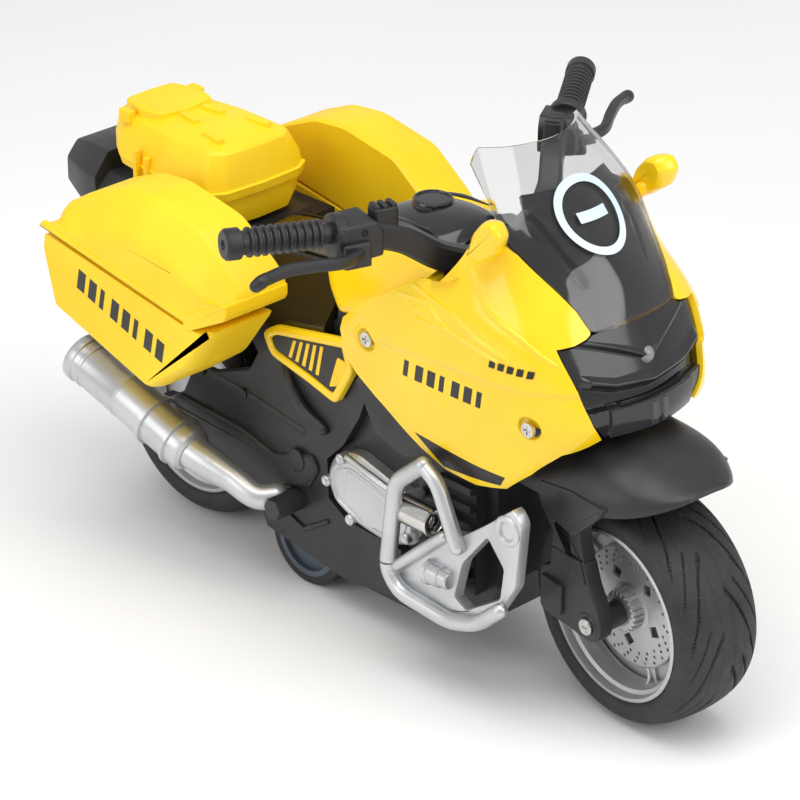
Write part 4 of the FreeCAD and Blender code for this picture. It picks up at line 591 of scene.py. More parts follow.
fairing_right = [panel(fairing_grid(), 1.5, (20, 0, 90))] + [oriented(c) for c in mirror_chunks()]
for side, chunks in (("right", fairing_right), ("left", [mirrored(c) for c in fairing_right])):
    piece("fairing_" + side + "_moulding", chunks, ["yellow_gloss"], "body", ["fairing_" + side],
          bevel=0.22, sharp=45, limit=50)


# ------------------------------------------------------------------ screen and nose
def skin_place(y, z):
    """Signed place along the skin for each pair in two grids of y and height."""
    rows = zip(y, z)
    return np.array([[by_y(abs(b), c)[0] * (1 if b < 0 else -1) for b, c in zip(*row)] for row in rows])


def screen_grid():
    """Clear screen between the fairings, from the lip over the headlight up to its clipped top corners."""
    left = [by_y(y - 0.25, z) for y, z in SCREEN_EDGE] + [by_x(46.3, 128.0), by_x(34.6, 137.9)]
    top = [by_x(34.6, 137.9), by_x(34.4, 139.8), by_x(34.6, 141.5)]
    top = top + [(s, 141.5) for s in np.linspace(by_x(34.6, 141.5)[0], 0, 12)[1:]]

    def lip_height(at):
        return 104.4 - 0.8 * (1 - abs(at) / 0.25) if abs(at) < 0.25 else 104.4

    half_low = [by_y(SCREEN_EDGE[0][0] - 0.25, 104.6)]
    half_low += [(s, lip_height(s)) for s in np.linspace(by_y(14.3, 104.4)[0], 0, 8)[1:]]
    bottom = half_low + [(-s, z) for s, z in half_low[-2::-1]]
    top = top + [(-s, z) for s, z in top[-2::-1]]
    right = [(-s, z) for s, z in left]
    flat = coons(bottom, top, left, right, 90, 110, (60, 1))
    return skin(flat[..., 0], flat[..., 1])


piece("screen_pane", [panel(screen_grid(), 1.1, (20, 0, 110))], ["smoked_clear"], "body", ["windshield"],
      bevel=0.25, sharp=45, limit=50)


def nose_upper_grid():
    """Black panel close behind the screen; two long scoops 1.6 mm deep run beside the badge."""
    z_top = 132.6
    left = [by_y(14.0, 104.5), by_y(15.6, 109), by_y(18.6, 115), by_y(21.2, 121), by_x(48.8, 125.6)]
    half_top = [by_x(48.8, 125.6), by_x(48.9, 130.2)] + [(s, z_top) for s in np.linspace(-0.26, 0, 8)]
    half_low = [(s, 104.4) for s in np.linspace(by_y(14.0, 104.5)[0], 0, 8)]
    bottom = half_low + [(-s, z) for s, z in half_low[-2::-1]]
    top = half_top + [(-s, z) for s, z in half_top[-2::-1]]
    right = [(-s, z) for s, z in left]
    flat = coons(bottom, top, left, right, 130, 170, (60, 1))
    grid = skin(flat[..., 0], flat[..., 1])
    n = normals(grid)
    n *= np.sign(np.sum(n * (grid - (20, 0, 110)), axis=2).mean())
    y, z = grid[..., 1], grid[..., 2]
    d = near_line(np.abs(y), z, [(15.4, 126.6), (13.6, 121), (11.2, 114.6)])
    width = np.interp(z, [113, 118, 127], [1.0, 1.7, 2.2])
    dip = -1.5 * step((width - d) / 0.9) + 0.4 * np.exp(-(((d - width) / 0.35) ** 2))
    return grid + n * (dip - 1.55)[..., None]


nose_pins = []
for side in (-1, 1):
    for y, z in ((14.7, 124.4), (12.0, 116.6)):
        s0, z0 = by_y(y, z)
        at = skin(-side * s0, z0)
        out = at - np.array((20, 0, 110.0))
        out = np.array((0.80, side * 0.22, 0.55))
        nose_pins.append(lathe([(-3.2, 0), (-3.2, 0.85), (-1.9, 0.85), (-1.65, 0.6), (-1.7, 0.35),
                                (-2.0, 0.3), (-2.0, 0)],
                               at, out, 20))
piece("nose_cowl", [panel(nose_upper_grid(), 1.3, (20, 0, 110))] + [oriented(c) for c in nose_pins],
      ["black_gloss"], "body", ["nose_upper"], bevel=0.15, sharp=45, limit=50)


def nose_lower_grid():
    """Headlight panel: side wings, a beak crease each side, a projecting lip, and a channel under it."""
    left = [by_y(15.2, 78.4), by_y(18.9, 83.3), by_y(20.6, 88), by_y(21.8, 93), by_y(23.2, 101.6)]
    half_top = [left[-1], by_y(19.3, 102.0), by_y(16.0, 102.8), by_y(14.4, 103.6)]
    half_top += [(s, 103.9) for s in np.linspace(half_top[-1][0], 0, 7)[1:]]
    half_low = [(s, 78.4) for s in np.linspace(left[0][0], 0, 8)]
    bottom = half_low + [(-s, z) for s, z in half_low[-2::-1]]
    top = half_top + [(-s, z) for s, z in half_top[-2::-1]]
    right = [(-s, z) for s, z in left]
    flat = coons(bottom, top, left, right, 170, 200, (60, 1))
    grid = skin(flat[..., 0], flat[..., 1])
    n = normals(grid)
    n *= np.sign(np.sum(n * (grid - (20, 0, 95)), axis=2).mean())
    y, z = np.abs(grid[..., 1]), grid[..., 2]
    lip = np.interp(y, [0, 12, 20], [91.2, 92.2, 94.5])
    beak = 95.8 + 0.50 * y - 0.006 * y ** 2
    dip = -0.4 - 1.1 * step((beak - z) / 1.3)
    dip += 0.25 * np.exp(-(((z - beak) / 0.5) ** 2))
    dip += 1.3 * np.exp(-(((z - lip) / 1.1) ** 2)) * step((22 - y) / 4)
    dip += -1.9 * step((lip - 1.3 - z) / 0.9) * step((z - 86.3) / 1.0)
    dip += -1.0 * step((86.6 - z) / 0.6) * step((14.6 - y) / 1.0)
    return grid + n * dip[..., None]


lower_nose = [panel(nose_lower_grid(), 1.2, (20, 0, 95))]
piece("headlight_panel", lower_nose, ["black_gloss"], "body", ["nose_lower"], bevel=0.2,
      sharp=40, limit=50)


def lens_grid(y0, y1, z0, z1, depth):
    """Grid over a range of y and height on the skin, set back along x."""
    y, z = np.meshgrid(np.linspace(y0, y1, 41), np.linspace(z0, z1, 12))
    g = skin(skin_place(y, z), z)
    g[..., 0] -= depth
    return g


strip = panel(lens_grid(-14, 14, 79.0, 86.0, 0.9), 0.9, (20, 0, 80))
ribs = [panel(lens_grid(a, b, 79.6, 85.4, 0.45), 0.7, (20, 0, 80)) for a, b in ((-2.6, -1.0), (1.0, 2.6))]
piece("lamp_strip", [strip] + [(c[0], c[1], 1) for c in ribs], ["lamp_smoke", "clear"], "body",
      ["lamp_lens"], bevel=0.12, limit=50)


def badge_film(y, z, proud=0.06):
    """Print lying on the screen, from grids of y and height, 0.04 mm thick."""
    g = skin(skin_place(y, z), z)
    out = np.array((0.79, 0, 0.61))
    pts = np.concatenate([g + out * proud, (g + out * 0.02)[::-1]])
    return g.shape, pts


def badge_ring(inner, outer):
    """Flat ring round the badge centre."""
    a = np.linspace(0, 2 * math.pi, 97)[:-1]
    r = np.array([[inner], [outer]])
    shape, pts = badge_film(r * np.cos(a), 126.0 + r * np.sin(a) * 0.80)
    return oriented(chunk(pts, quads(4, shape[1], wrap_rows=True, wrap_cols=True)))


def badge_bar(half_wide, half_high, turn):
    """Straight bar across the badge centre."""
    u, v = np.meshgrid(np.linspace(-half_wide, half_wide, 12), np.linspace(-half_high, half_high, 3))
    c, n = math.cos(turn), math.sin(turn)
    y, z = u * c - v * n, u * n + v * c
    height = 126.0 + z * 0.8
    g = skin(skin_place(y, height), height) + np.array((0.79, 0, 0.61)) * 0.06
    return panel(g, 0.04, (20, 0, 110))


piece("nose_badge", [badge_ring(7.9, 9.85), badge_bar(4.6, 1.3, 0.0)], ["badge"], "body")


# ------------------------------------------------------------------ tank, seat and side panels
def ridge_loft(stations, rows_between=10):
    """Smooth skin through closed sections of equal count, with flat ends."""
    st = np.array([s for s in stations], float)
    at = np.arange(len(st))
    fine = np.linspace(0, len(st) - 1, rows_between * (len(st) - 1) + 1)
    return [ring for ring in hermite(at, st, fine)]


def arch(x, half, side_z, top_z, low_z, crown=0.9, count=33):
    """Arched section at one x: flat foot, upright sides and a rounded top."""
    a = np.linspace(0, math.pi, count)
    c, s = np.cos(a), np.sin(a)
    y = half * np.sign(c) * np.abs(c) ** crown
    z = side_z + (top_z - side_z) * np.abs(s) ** 1.15
    y = np.concatenate([[half], y, [-half]])
    z = np.concatenate([[low_z], z, [low_z]])
    return np.stack([np.full(len(y), float(x)), y, z], -1)


def tank_chunks():
    """Tank cover lofted through arched sections, with its filler cap turned about an upright axis."""
    rings = ridge_loft([arch(-13.8, 10.5, 100.5, 103.5, 96.2), arch(-10, 12.6, 102.5, 108.5, 96.2),
                        arch(-2, 13.8, 103.8, 111.6, 96.2), arch(8, 14, 104.5, 113.0, 96.2),
                        arch(16, 13.6, 104, 112.2, 96.2), arch(19.9, 12.4, 102.5, 109.4, 96.2)])
    body = oriented(layered(rings))
    cap = lathe([(-1.5, 0), (-1.5, 5.2), (0.5, 5.2), (1.0, 4.9), (1.15, 4.3), (0.7, 4.1), (0.75, 0)],
                (2.8, 0, 112.8), (0.03, 0, 1), 48)
    parts = [body, oriented(cap)]
    for side in (-1, 1):
        trim = along([(-8, side * 9.6, 109.4), (3, side * 10.6, 111.0), (12, side * 10.4, 111.4)], 20, True)
        parts.append(sweep(trim, (0.3, 0.9, 0.3), squash=0.5, smooth=False))
        parts.append(sweep([(-9, side * 12.3, 106.3), (2, side * 13.4, 107.4), (14, side * 13.0, 108.0)],
                           (0.4, 0.8, 0.4), squash=0.6))
    return parts


piece("tank_top", tank_chunks(), ["black_gloss"], "body", ["tank_cover"], bevel=0.35)


def surround_chunks():
    """Yellow sides of the tank, leaning in to its top edge, joined behind it."""
    outline = [(-16, 97.2), (-14.2, 90), (-11, 84.2), (2, 86.6), (18, 90.2), (22, 97), (21, 105.4),
               (8, 107.3), (-8, 103.9)]
    base = rounded(outline, 1.6, 5)
    rings = []
    for y, by in ((17.12, 0.0), (18.6, 0.0), (19.2, -0.25), (19.5, -0.8), (19.6, -2.2)):
        r = grown(base, by)
        lean = np.maximum(r[:, 1] - 95, 0) * 0.30
        rings.append(np.stack([r[:, 0], -(y - lean), r[:, 1]], -1))
    side = oriented(layered(rings))
    strap = brick((-16, -17.5, 93.5), (-14.3, 17.5, 97.9), 0.5)
    return [side, mirrored(side), strap]


piece("tank_saddle", surround_chunks(), ["yellow_gloss"], "body", ["tank_surround"],
      sharp=50)


def shoulder_chunks():
    """Panel that closes the gap between the tank saddle and the top edge of the fairing."""
    front = [(-1.5, 86.5), (0.2, 89.6), (5.2, 94.2), (16, 101.5), (28, 108.9)]
    rows = []
    for x, z in along(front, 24):
        outer = skin(by_x(x, z)[0], z)
        rows.append([np.array((x - 1.5 * (1 - t), outer[1] * t + -19.0 * (1 - t) + 0.5 * t,
                               z - 0.7 + 1.6 * math.sin(math.pi * t) * 0.35)) for t in np.linspace(0, 1,
                                                                                                   12)])
    grid = np.array(rows)
    return [panel(grid, 1.0, (10, -20, 60))]


for side, mirror in (("right", False), ("left", True)):
    parts = [oriented(c) for c in shoulder_chunks()]
    piece("fairing_shoulder_" + side, [mirrored(c) for c in parts] if mirror else parts, ["yellow_gloss"],
          "body", bevel=0.15, limit=50)


def seat_section(x, top_half, low_half, top, low, sink=0.0):
    """Trapezoid seat section with rounded shoulders and a slightly hollow top."""
    pts = [(low_half, low), (low_half, low + 4), (top_half + 0.3, top - 0.8), (top_half - 1.0, top),
           (0, top - sink), (-top_half + 1.0, top), (-top_half - 0.3, top - 0.8), (-low_half, low + 4),
           (-low_half, low)]
    p = np.array(pts, float)
    d = np.concatenate([[0], np.cumsum(np.linalg.norm(np.diff(p, axis=0), axis=1))]) / 1.0
    share = np.linspace(0, 1, 49)
    fine = np.stack([np.interp(share, d / d[-1], p[:, i]) for i in range(2)], -1)
    return np.stack([np.full(len(fine), float(x)), fine[:, 0], fine[:, 1]], -1)


def seat_chunks():
    """Seat lofted through trapezoid sections, with raised edge lines."""
    rows = ((-57.5, 9, 19, 88.0, 78.2), (-50, 9.5, 19.6, 89.6, 76), (-36, 10, 20.3, 90.9, 72.6),
            (-24, 10.2, 20.4, 92.2, 73.4), (-15.3, 10, 20.3, 93.0, 75.0))
    rings = ridge_loft([seat_section(x, a, b, c, d, 0.25) for x, a, b, c, d in rows], 8)
    body = oriented(layered(rings))
    edges = []
    for side in (-1, 1):
        line = [(-55, side * 9.3, 88.7), (-36, side * 10.2, 91.0), (-17, side * 10.2, 92.9)]
        edges.append(sweep(line, 0.32, sides=10))
        edges.append(sweep([(-50.5, side * 18.3, 82.4), (-46.5, side * 20.0, 77.8),
                            (-42, side * 20.3, 73.6)], 0.3, sides=10))
    ring = closed_lathe([(-0.5, 2.35), (0.32, 2.35), (0.5, 2.7), (0.32, 3.1), (-0.5, 3.1)],
                        (-49.8, 0, 89.2), (-0.12, 0, 1), 40)
    return [body] + edges + [ring]


piece("seat_moulding", seat_chunks(), ["seat_black"], "body", ["seat_cover"], sharp=24,
      bevel=0.25, limit=22)

PANEL_OUTLINE = [(-36, 71.6), (-32, 74.5), (-5, 79.5), (-2.5, 71.5), (-9, 60.3), (-19, 63), (-33, 66)]


def side_panel_chunks():
    """Yellow frame with a sunk black field that carries slanted stripes."""
    outer = rounded(PANEL_OUTLINE, 2.0, 6)
    rings = [lift(r, y) for r, y in ((outer, -20.6), (outer, -22.3), (grown(outer, -0.3), -22.7),
                                     (grown(outer, -0.9), -22.8), (grown(outer, -2.0), -22.75),
                                     (grown(outer, -2.25), -22.5), (grown(outer, -2.3), -22.1))]
    frame_part = oriented(layered(rings))
    field = slab(grown(np.array(PANEL_OUTLINE), -2.4), -21.9, -22.25, 0.05, 1.0)
    stripes = []
    for i in range(5):
        x = -26.5 + i * 2.5
        z0, z1 = np.interp(x, [-30, -5], [67.6, 64.0]), np.interp(x, [-30, -5], [72.6, 77.0])
        stripes.append(slab([(x, z0 + 0.6), (x + 1.15, z0 + 0.5), (x + 3.0, z1 - 0.2),
                             (x + 1.85, z1 - 0.4)], -22.1,
                            -22.36, 0.04, 0.0))
    wedge = slab([(-11.5, 64.5), (-6.0, 66.5), (-4.6, 73.2), (-8.4, 73.6)], -22.1, -22.36, 0.04, 0.5)
    return frame_part, field, stripes, wedge


for side, mirror in (("right", False), ("left", True)):
    frame_part, field, stripes, wedge = side_panel_chunks()
    parts = [(frame_part[0], frame_part[1], 0), (field[0], field[1], 1)]
    parts += [(c[0], c[1], 2) for c in stripes + [wedge]]
    parts = [mirrored(c) for c in parts] if mirror else parts
    piece("side_panel_trim_" + side, parts, ["yellow_gloss", "decal", "decal_yellow"], "body",
          ["side_panel_" + side], sharp=45)


# ------------------------------------------------------------------ luggage and tail
BODY_OUTLINE = [(-93.2, 89.4), (-95, 85), (-90.5, 68), (-53, 56.4), (-38, 67), (-27, 82), (-37, 80.4)]
LID_OUTLINE = [(-93.8, 90.4), (-90, 96), (-80, 102), (-68, 107), (-57, 108), (-38, 104.5), (-25, 95),
               (-22.2, 91.6), (-22.4, 87.8), (-36.6, 81)]


def lid_line(x):
    """Height of the seam between pannier tub and lid."""
    return np.interp(x, [-96, -36.8, -22.0], [90.5, 80.9, 87.7])


def drawn_in(base, by, sign):
    """Outline moved inwards on one side of the lid seam only, so that the seam edge stays put."""
    r = grown(base, -by)
    away = sign * (base[:, 1] - lid_line(base[:, 0]))
    w = np.clip(away / max(by * 1.2, 1.0), 0, 1)[:, None]
    return base * (1 - w) + r * w


def pannier_body_chunks():
    """Tapered tub below the lid seam; its outer face turns in along the lower edge."""
    base = rounded(BODY_OUTLINE, 2.2, 6)
    rings = [lift(drawn_in(base, by, -1), y) for y, by in (
        (-26.0, 0.6), (-26.8, 0.0), (-41.5, 0.0), (-43.6, 0.3), (-45.4, 0.9), (-46.2, 1.4), (-46.6, 1.7),
                                                           (-46.75, 2.0))]
    return [oriented(layered(rings))]


def pannier_lid_chunks():
    """Lid: flat top strip, a crest line, and an outer face that leans out to the seam flange."""
    base = rounded(LID_OUTLINE, 2.4, 6)
    rings = [lift(drawn_in(base, by, 1), y) for y, by in (
        (-26.0, 0.8), (-26.9, 0.0), (-40.2, 0.0), (-41.2, 0.5), (-41.9, 1.5), (-45.8, 8.5), (-46.5, 10.0),
                                                          (-46.8, 12.0))]
    top = oriented(layered(rings))
    flange = slab([(-94.3, 90.2), (-92.9, 91.9), (-60, 86.6), (-37.0, 82.8), (-36.9, 80.9), (-60, 84.6)],
                  -45.8, -47.15, 0.45, 0.5)
    latch = slab([(-38.6, 80.0), (-36.6, 79.3), (-22.9, 86.4), (-21.9, 88.0), (-21.9, 90.9), (-23.2, 90.9),
                  (-37.2, 84.0)],
                 -26.5, -47.3, 0.5, 0.6)
    return [top, flange, latch]


def bar_print(count, x0, z0, dx, dz, lean, height, width, y):
    """Row of plain slanted bars standing 0.05 mm off an upright face."""
    out = []
    for i in range(count):
        w = width * (0.55 if i % 3 == 2 else 1)
        a = np.array((x0 + dx * i, z0 + dz * i))
        out.append(slab([a, a + (w, w * dz / dx), a + (w + lean, w * dz / dx + height), a + (lean, height)],
                        y + 0.02, y - 0.05, 0.01, 0.0))
    return out


for side, mirror in (("right", False), ("left", True)):
    flip = (lambda cs: [mirrored(c) for c in cs]) if mirror else (lambda cs: cs)
    piece("pannier_tub_" + side, flip(pannier_body_chunks()), ["yellow_satin"], "body",
          ["pannier_body_" + side], sharp=30)
    piece("pannier_cover_" + side, flip(pannier_lid_chunks()), ["yellow_satin"], "body",
          ["pannier_lid_" + side], sharp=30)
    piece("pannier_print_" + side, flip(bar_print(8, -80.0, 77.2, 4.3, -1.35, 1.2, 5.6, 2.8, -46.76)),
          ["decal"], "body")


def case_ring(z, rear, front, half, nose=0.62, cut=3.6):
    """Plan outline of the top case: tapered to the rear, with clipped corners and a bowed front."""
    pts = [(front - 0.7, -half * 0.70), (front, 0), (front - 0.7, half * 0.70), (front - cut, half * 0.97),
           (front - 20, half), (rear + 7, half * 0.84), (rear + 1.0, half * nose), (rear, 0),
           (rear + 1.0, -half * nose), (rear + 7, -half * 0.84), (front - 20, -half),
           (front - cut, -half * 0.97)]
    return lift(rounded(pts, 0.9, 4), z, "xy")


def top_case_chunks():
    """Lid with an upright lower band, sides that lean in to a crest, a domed top and small raised bars."""
    rows = ((96.6, -104.8, -60.0, 16.8), (97.0, -105.4, -58.9, 17.6), (99.3, -106.2, -58.7, 18.0),
            (99.6, -106.6, -59.4, 17.5), (103.0, -107.2, -60.0, 16.8), (108.4, -107.2, -61.4, 14.0),
            (109.1, -106.6, -62.1, 13.3), (109.9, -105.2, -65, 10.8), (110.5, -102.5, -69, 7.6),
            (110.8, -98, -75, 3.8))
    out = [oriented(layered([case_ring(*r) for r in rows]))]
    out.append(slab([(-104.4, -8.2), (-104.9, 0), (-104.4, 8.2), (-96, 10.5), (-89, 9.0), (-87.4, 0),
                     (-89, -9.0), (-96, -10.5)],
                    109.0, 111.9, 0.6, 1.6, plane="xy"))
    for s in (-1, 1):
        out.append(slab([(-73.5, s * 6.4), (-66.0, s * 7.4), (-66.4, s * 9.4), (-73.9, s * 8.4)], 109.4,
                        111.3, 0.35, 0.5, plane="xy"))
        out.append(slab([(-86.5, s * 2.6), (-79.5, s * 3.6), (-79.9, s * 5.6), (-86.9, s * 4.6)], 109.4,
                        111.9, 0.35, 0.5, plane="xy"))
        out.append(brick((-101.5, s * 12.0 - 1.3, 108.0), (-97.0, s * 12.0 + 1.3, 111.2), 0.45))
        for x, lo, hi in ((-90.0, 91.0, 104.0), (-85.8, 89.0, 103.0), (-82.4, 88.0, 99.6)):
            out.append(brick((x - 0.9, min(s * 16.0, s * 17.9), lo), (x + 0.9, max(s * 16.0, s * 17.9), hi),
                             0.5))
        out.append(brick((-81.0, min(s * 14.0, s * 18.0), 87.4), (-73.6, max(s * 14.0, s * 18.0), 96.2),
                         0.7))
    return out


def top_case_base_chunks():
    """Tray under the case lid: stacked plan outlines that widen upwards, on two feet."""
    rings = []
    for z, rear, front, half in ((88.1, -90, -62.5, 13.5), (88.6, -92, -61.2, 14.8),
                                 (92.5, -99, -60.2, 16.2), (96.4, -103.6, -60.1, 16.4)):
        rings.append(case_ring(z, rear, front, half))
    feet = [brick((-84.5, min(s * 13.6, s * 16.4), 87.1), (-74.5, max(s * 13.6, s * 16.4), 90.5),
                  0.6) for s in (-1, 1)]
    return [oriented(layered(rings))] + feet


piece("top_case_cover", top_case_chunks(), ["yellow_satin"], "body", ["top_case_lid"],
      sharp=26, bevel=0.25, limit=24)
piece("top_case_base", top_case_base_chunks(), ["yellow_satin"], "body", ["top_case_body"],
      sharp=26, bevel=0.3, limit=24)


def tail_chunks():
    """Tail unit: six-sided sections stacked along x and drawn in towards the rear."""
    def ring(x, half, low, high):
        c = (high - low) * 0.28
        p = [(-half * 0.6, low), (-half, low + c), (-half, high - c), (-half * 0.7, high),
             (half * 0.7, high), (half, high - c), (half, low + c), (half * 0.6, low)]
        return lift(rounded(p, 0.8, 4), x, "yz")
    body = layered([ring(-100.2, 16.3, 74.2, 90.6), ring(-107.8, 16.5, 74.6, 91.0),
                    ring(-108.2, 16.5, 74.6, 96.4), ring(-113, 16.3, 75.2, 96.8),
                    ring(-124.6, 12.2, 79.4, 94.4), ring(-125.7, 11.2, 80.4, 93.6)])
    return [oriented(body)]


piece("tail_housing", tail_chunks(), ["black_satin"], "body", ["tail_unit"], sharp=25,
      bevel=0.5, limit=22)
piece("tail_lamp", [brick((-125.95, -8.3, 83.7), (-124.6, 8.3, 90.3), 0.5)], ["lamp_red"], "body",
      ["tail_lens"])


# ------------------------------------------------------------------ wheels and tyres
def tyre_chunk(centre):
    """Tyre as a tube section turned about the axle: the grid runs across the tread and round the wheel.

    Curved slashes 0.7 mm deep alternate left and right of two fine grooves, and the sidewall carries rings.
    """
    across = [(-10.9, 22.7), (-11.7, 23.5), (-12.0, 25.0), (-11.9, 26.2), (-11.2, 27.4), (-9.6, 28.55),
              (-7.4, 29.3), (-4.4, 29.8), (-1.5, 30.0), (1.5, 30.0), (4.4, 29.8), (7.4, 29.3), (9.6, 28.55),
              (11.2, 27.4), (11.9, 26.2), (12.0, 25.0), (11.7, 23.5), (10.9, 22.7)]
    outer = along(across, 110, True) * (1, TYRE_R / 30)
    cols = 620
    a = np.linspace(0, 2 * math.pi, cols, endpoint=False)[None, :]
    y, r = outer[:, :1], outer[:, 1:]
    r = np.repeat(r, cols, 1)
    count = 9
    for side in (-1, 1):
        w = np.clip((y * side + 0.4) / 11.4, 0, 1)
        for start, lean, depth, width, inside in ((0.0, 0.95, 0.7, 0.42, 1.0), (0.34, 0.75, 0.6, 0.38, 4.6),
                                                  (0.68, 0.62, 0.5, 0.34, 6.4)):
            phase = (a - lean * w ** 1.7 - (0 if side < 0 else math.pi / count)) * count / (2 * math.pi)
            d = np.abs((phase + start + 0.5) % 1 - 0.5) * 2 * math.pi / count * TYRE_R
            slope = 1 + 2.2 * (1 - w)
            reach = step((y * side - inside) / 0.8) * step((10.9 - y * side) / 1.2)
            r = r - depth * step((width * slope - d) / 0.4) * reach
    for at in (-5.2, -2.0, 2.0, 5.2):
        r = r - 0.14 * np.exp(-((y - at) / 0.18) ** 2)
    pts = np.stack([centre[0] + r * np.sin(a), centre[1] + np.repeat(y, cols, 1) + 0 * a,
                    centre[2] + r * np.cos(a)], -1)
    inner = np.array([(11.0, 22.55), (-11.0, 22.55)])
    ring = np.stack([centre[0] + inner[:, 1:] * np.sin(a), centre[1] + inner[:, :1] + 0 * a,
                     centre[2] + inner[:, 1:] * np.cos(a)], -1)
    grid = np.concatenate([pts, ring])
    return oriented(chunk(grid, quads(len(grid), cols, wrap_rows=True, wrap_cols=True)))


def rim_chunks(centre):
    """Turned rim: bright rolled lip, first step, deep dish wall, and a spoked web on each face."""
    out = []
    for s in (-1, 1):
        bowl = [(s * 11.15, 22.55), (s * 11.35, 22.2), (s * 11.3, 21.55), (s * 10.7, 21.2), (s * 9.3, 21.1),
                (s * 9.1, 20.7), (s * 8.9, 20.1), (s * 8.5, 19.9), (s * 4.4, 19.2), (s * 3.9, 19.3),
                (s * 3.5, 21.2), (s * 3.5, 22.55)]
        out.append(oriented(closed_lathe(bowl, centre, (0, 1, 0), 128)))
    out.append(oriented(closed_lathe([(-3.6, 21.0), (3.6, 21.0), (3.6, 22.5), (-3.6, 22.5)], centre,
                                     (0, 1, 0), 96)))
    web = [(-3.2, 1.55), (3.2, 1.55), (3.2, 21.4), (-3.2, 21.4)]
    out.append(oriented(closed_lathe(web, centre, (0, 1, 0), 96)))
    for s in (-1, 1):
        hub = [(s * 3.0, 1.55), (s * 8.6, 1.55), (s * 8.6, 3.7), (s * 8.35, 4.1), (s * 5.4, 5.2),
               (s * 5.0, 6.6), (s * 4.0, 7.4), (s * 3.0, 7.4)]
        out.append(oriented(closed_lathe(hub, centre, (0, 1, 0), 48)))
        for k in range(5):
            t = 2 * math.pi * (k + 0.2) / 5
            u, v = np.array((math.sin(t), math.cos(t))), np.array((math.cos(t), -math.sin(t)))
            flat = [u * r + v * w for r, w in ((14, -2.4), (20.2, -1.5), (20.2, 1.5), (14, 2.4))]
            out.append(slab([(centre[0] + x, centre[2] + z) for x, z in flat], s * 3.0, s * 4.3, 0.5, 0.4))
            ridge = [centre + (u[0] * r, s * h, u[1] * r) for r, h in ((15.0, 4.3), (18.5, 4.8),
                                                                       (20.6, 7.4))]
            out.append(oriented(sweep(ridge, (0.5, 0.55, 0.4), sides=12, count=14)))
        out.append(oriented(crown_gear(centre, s)))
    return out


def crown_gear(centre, s):
    """Knurled collar with twenty square teeth round its end."""
    cols = 240
    a = np.linspace(0, 2 * math.pi, cols, endpoint=False)
    tooth = step((np.cos(a * 20) + 0.45) / 0.5)
    rings = []
    for y, r, k in ((4.0, 3.9, 0), (4.0, 5.0, 1), (7.6, 5.0, 1), (8.3, 4.75, 1), (8.6, 4.3, 0.6),
                    (8.6, 3.2, 0), (5.0, 3.2, 0)):
        rr = r + 0.55 * k * tooth
        rings.append(np.stack([centre[0] + rr * np.sin(a), np.full(cols, centre[1] + s * y),
                               centre[2] + rr * np.cos(a)],
                              -1))
    return chunk(np.array(rings), quads(len(rings), cols, wrap_rows=True, wrap_cols=True))


def disc_chunks(centre, s):
    """Brake disc grid: slanted rows of three holes and five lozenges, pits 0.85 mm deep whose deep faces are
    painted black as painted shade.
    """
    rows, cols = 90, 900
    r = np.linspace(6.6, 16.0, rows)[:, None]
    a = np.linspace(0, 2 * math.pi, cols, endpoint=False)[None, :]
    depth = np.zeros((rows, cols))
    for k in range(24):
        for j, rr in enumerate((12.2, 13.5, 14.8)):
            t = 2 * math.pi * k / 24 + 0.075 * j
            d = np.hypot(((a - t + math.pi) % (2 * math.pi) - math.pi) * rr, r - rr)
            depth = np.maximum(depth, step((0.42 - d) / 0.12))
    for k in range(5):
        t = 2 * math.pi * (k + 0.55) / 5
        d = np.abs((a - t + math.pi) % (2 * math.pi) - math.pi) * r / 2.0 + np.abs(r - 9.3) / 1.9
        depth = np.maximum(depth, step((1.0 - d) / 0.12))
    edge = np.exp(-((r - 16.0) / 0.25) ** 2) * 0.25
    y = s * (5.0 - 0.85 * depth - edge)
    top = np.stack([centre[0] + r * np.sin(a), centre[1] + y, centre[2] + r * np.cos(a)], -1)
    low = np.stack([centre[0] + r * np.sin(a), np.full((rows, cols), centre[1] + s * 4.02),
                    centre[2] + r * np.cos(a)], -1)
    grid = np.concatenate([top, low[[-1, 0]]])
    # painted shade: faces more than half way down a pit take the second finish, black satin, standing in for the
    # shade inside the holes
    dark = np.zeros((len(grid), cols), int)
    dark[:rows] = depth > 0.5
    dark[:rows - 1] &= dark[1:rows]
    c = chunk(grid, quads(len(grid), cols, wrap_rows=True, wrap_cols=True), dark.ravel().tolist())
    return oriented(c)


piece("front_tyre_tread", [tyre_chunk(FRONT_AXLE)], ["tyre_rubber"], "front_wheel", ["front_tyre"],
      move=steer)
piece("rear_tyre_tread", [tyre_chunk(REAR_AXLE)], ["tyre_rubber"], "rear_wheel", ["rear_tyre"])
piece("front_rim_casting", rim_chunks(FRONT_AXLE), ["bright_plating"], "front_wheel", ["front_rim"],
      sharp=35, move=steer)
piece("rear_rim_casting", rim_chunks(REAR_AXLE), ["bright_plating"], "rear_wheel", ["rear_rim"],
      sharp=35)
# the disc's second finish, black satin, is painted shade in its pits
piece("front_disc_pair", [disc_chunks(FRONT_AXLE, -1), disc_chunks(FRONT_AXLE, 1)],
      ["disc_plating", "black_satin"], "front_wheel", ["front_discs"], sharp=35,
      move=steer)


# ------------------------------------------------------------------ mudguard and fork
def from_axle(points):
    """Points given as (dx from the front axle, y, z) in the straight position."""
    return np.asarray(points, float) + (FRONT_AXLE[0], 0, 0)


def mudguard_section(dx, half, edge_z, top_z, wall):
    """Arched shell section, an ellipse with slightly full shoulders."""
    a = np.linspace(0, math.pi, 49)
    c, s = np.cos(a), np.sin(a)
    y = half * np.sign(c) * np.abs(c) ** 0.86
    z = edge_z + (top_z - edge_z) * s ** 0.82
    inner_y = y * (half - wall) / half
    inner_z = edge_z + (z - edge_z) * (top_z - edge_z - wall) / (top_z - edge_z)
    ring = np.concatenate([np.stack([y, z], -1), np.stack([inner_y, inner_z], -1)[::-1]])
    return np.stack([np.full(len(ring), float(dx)), ring[:, 0], ring[:, 1]], -1)


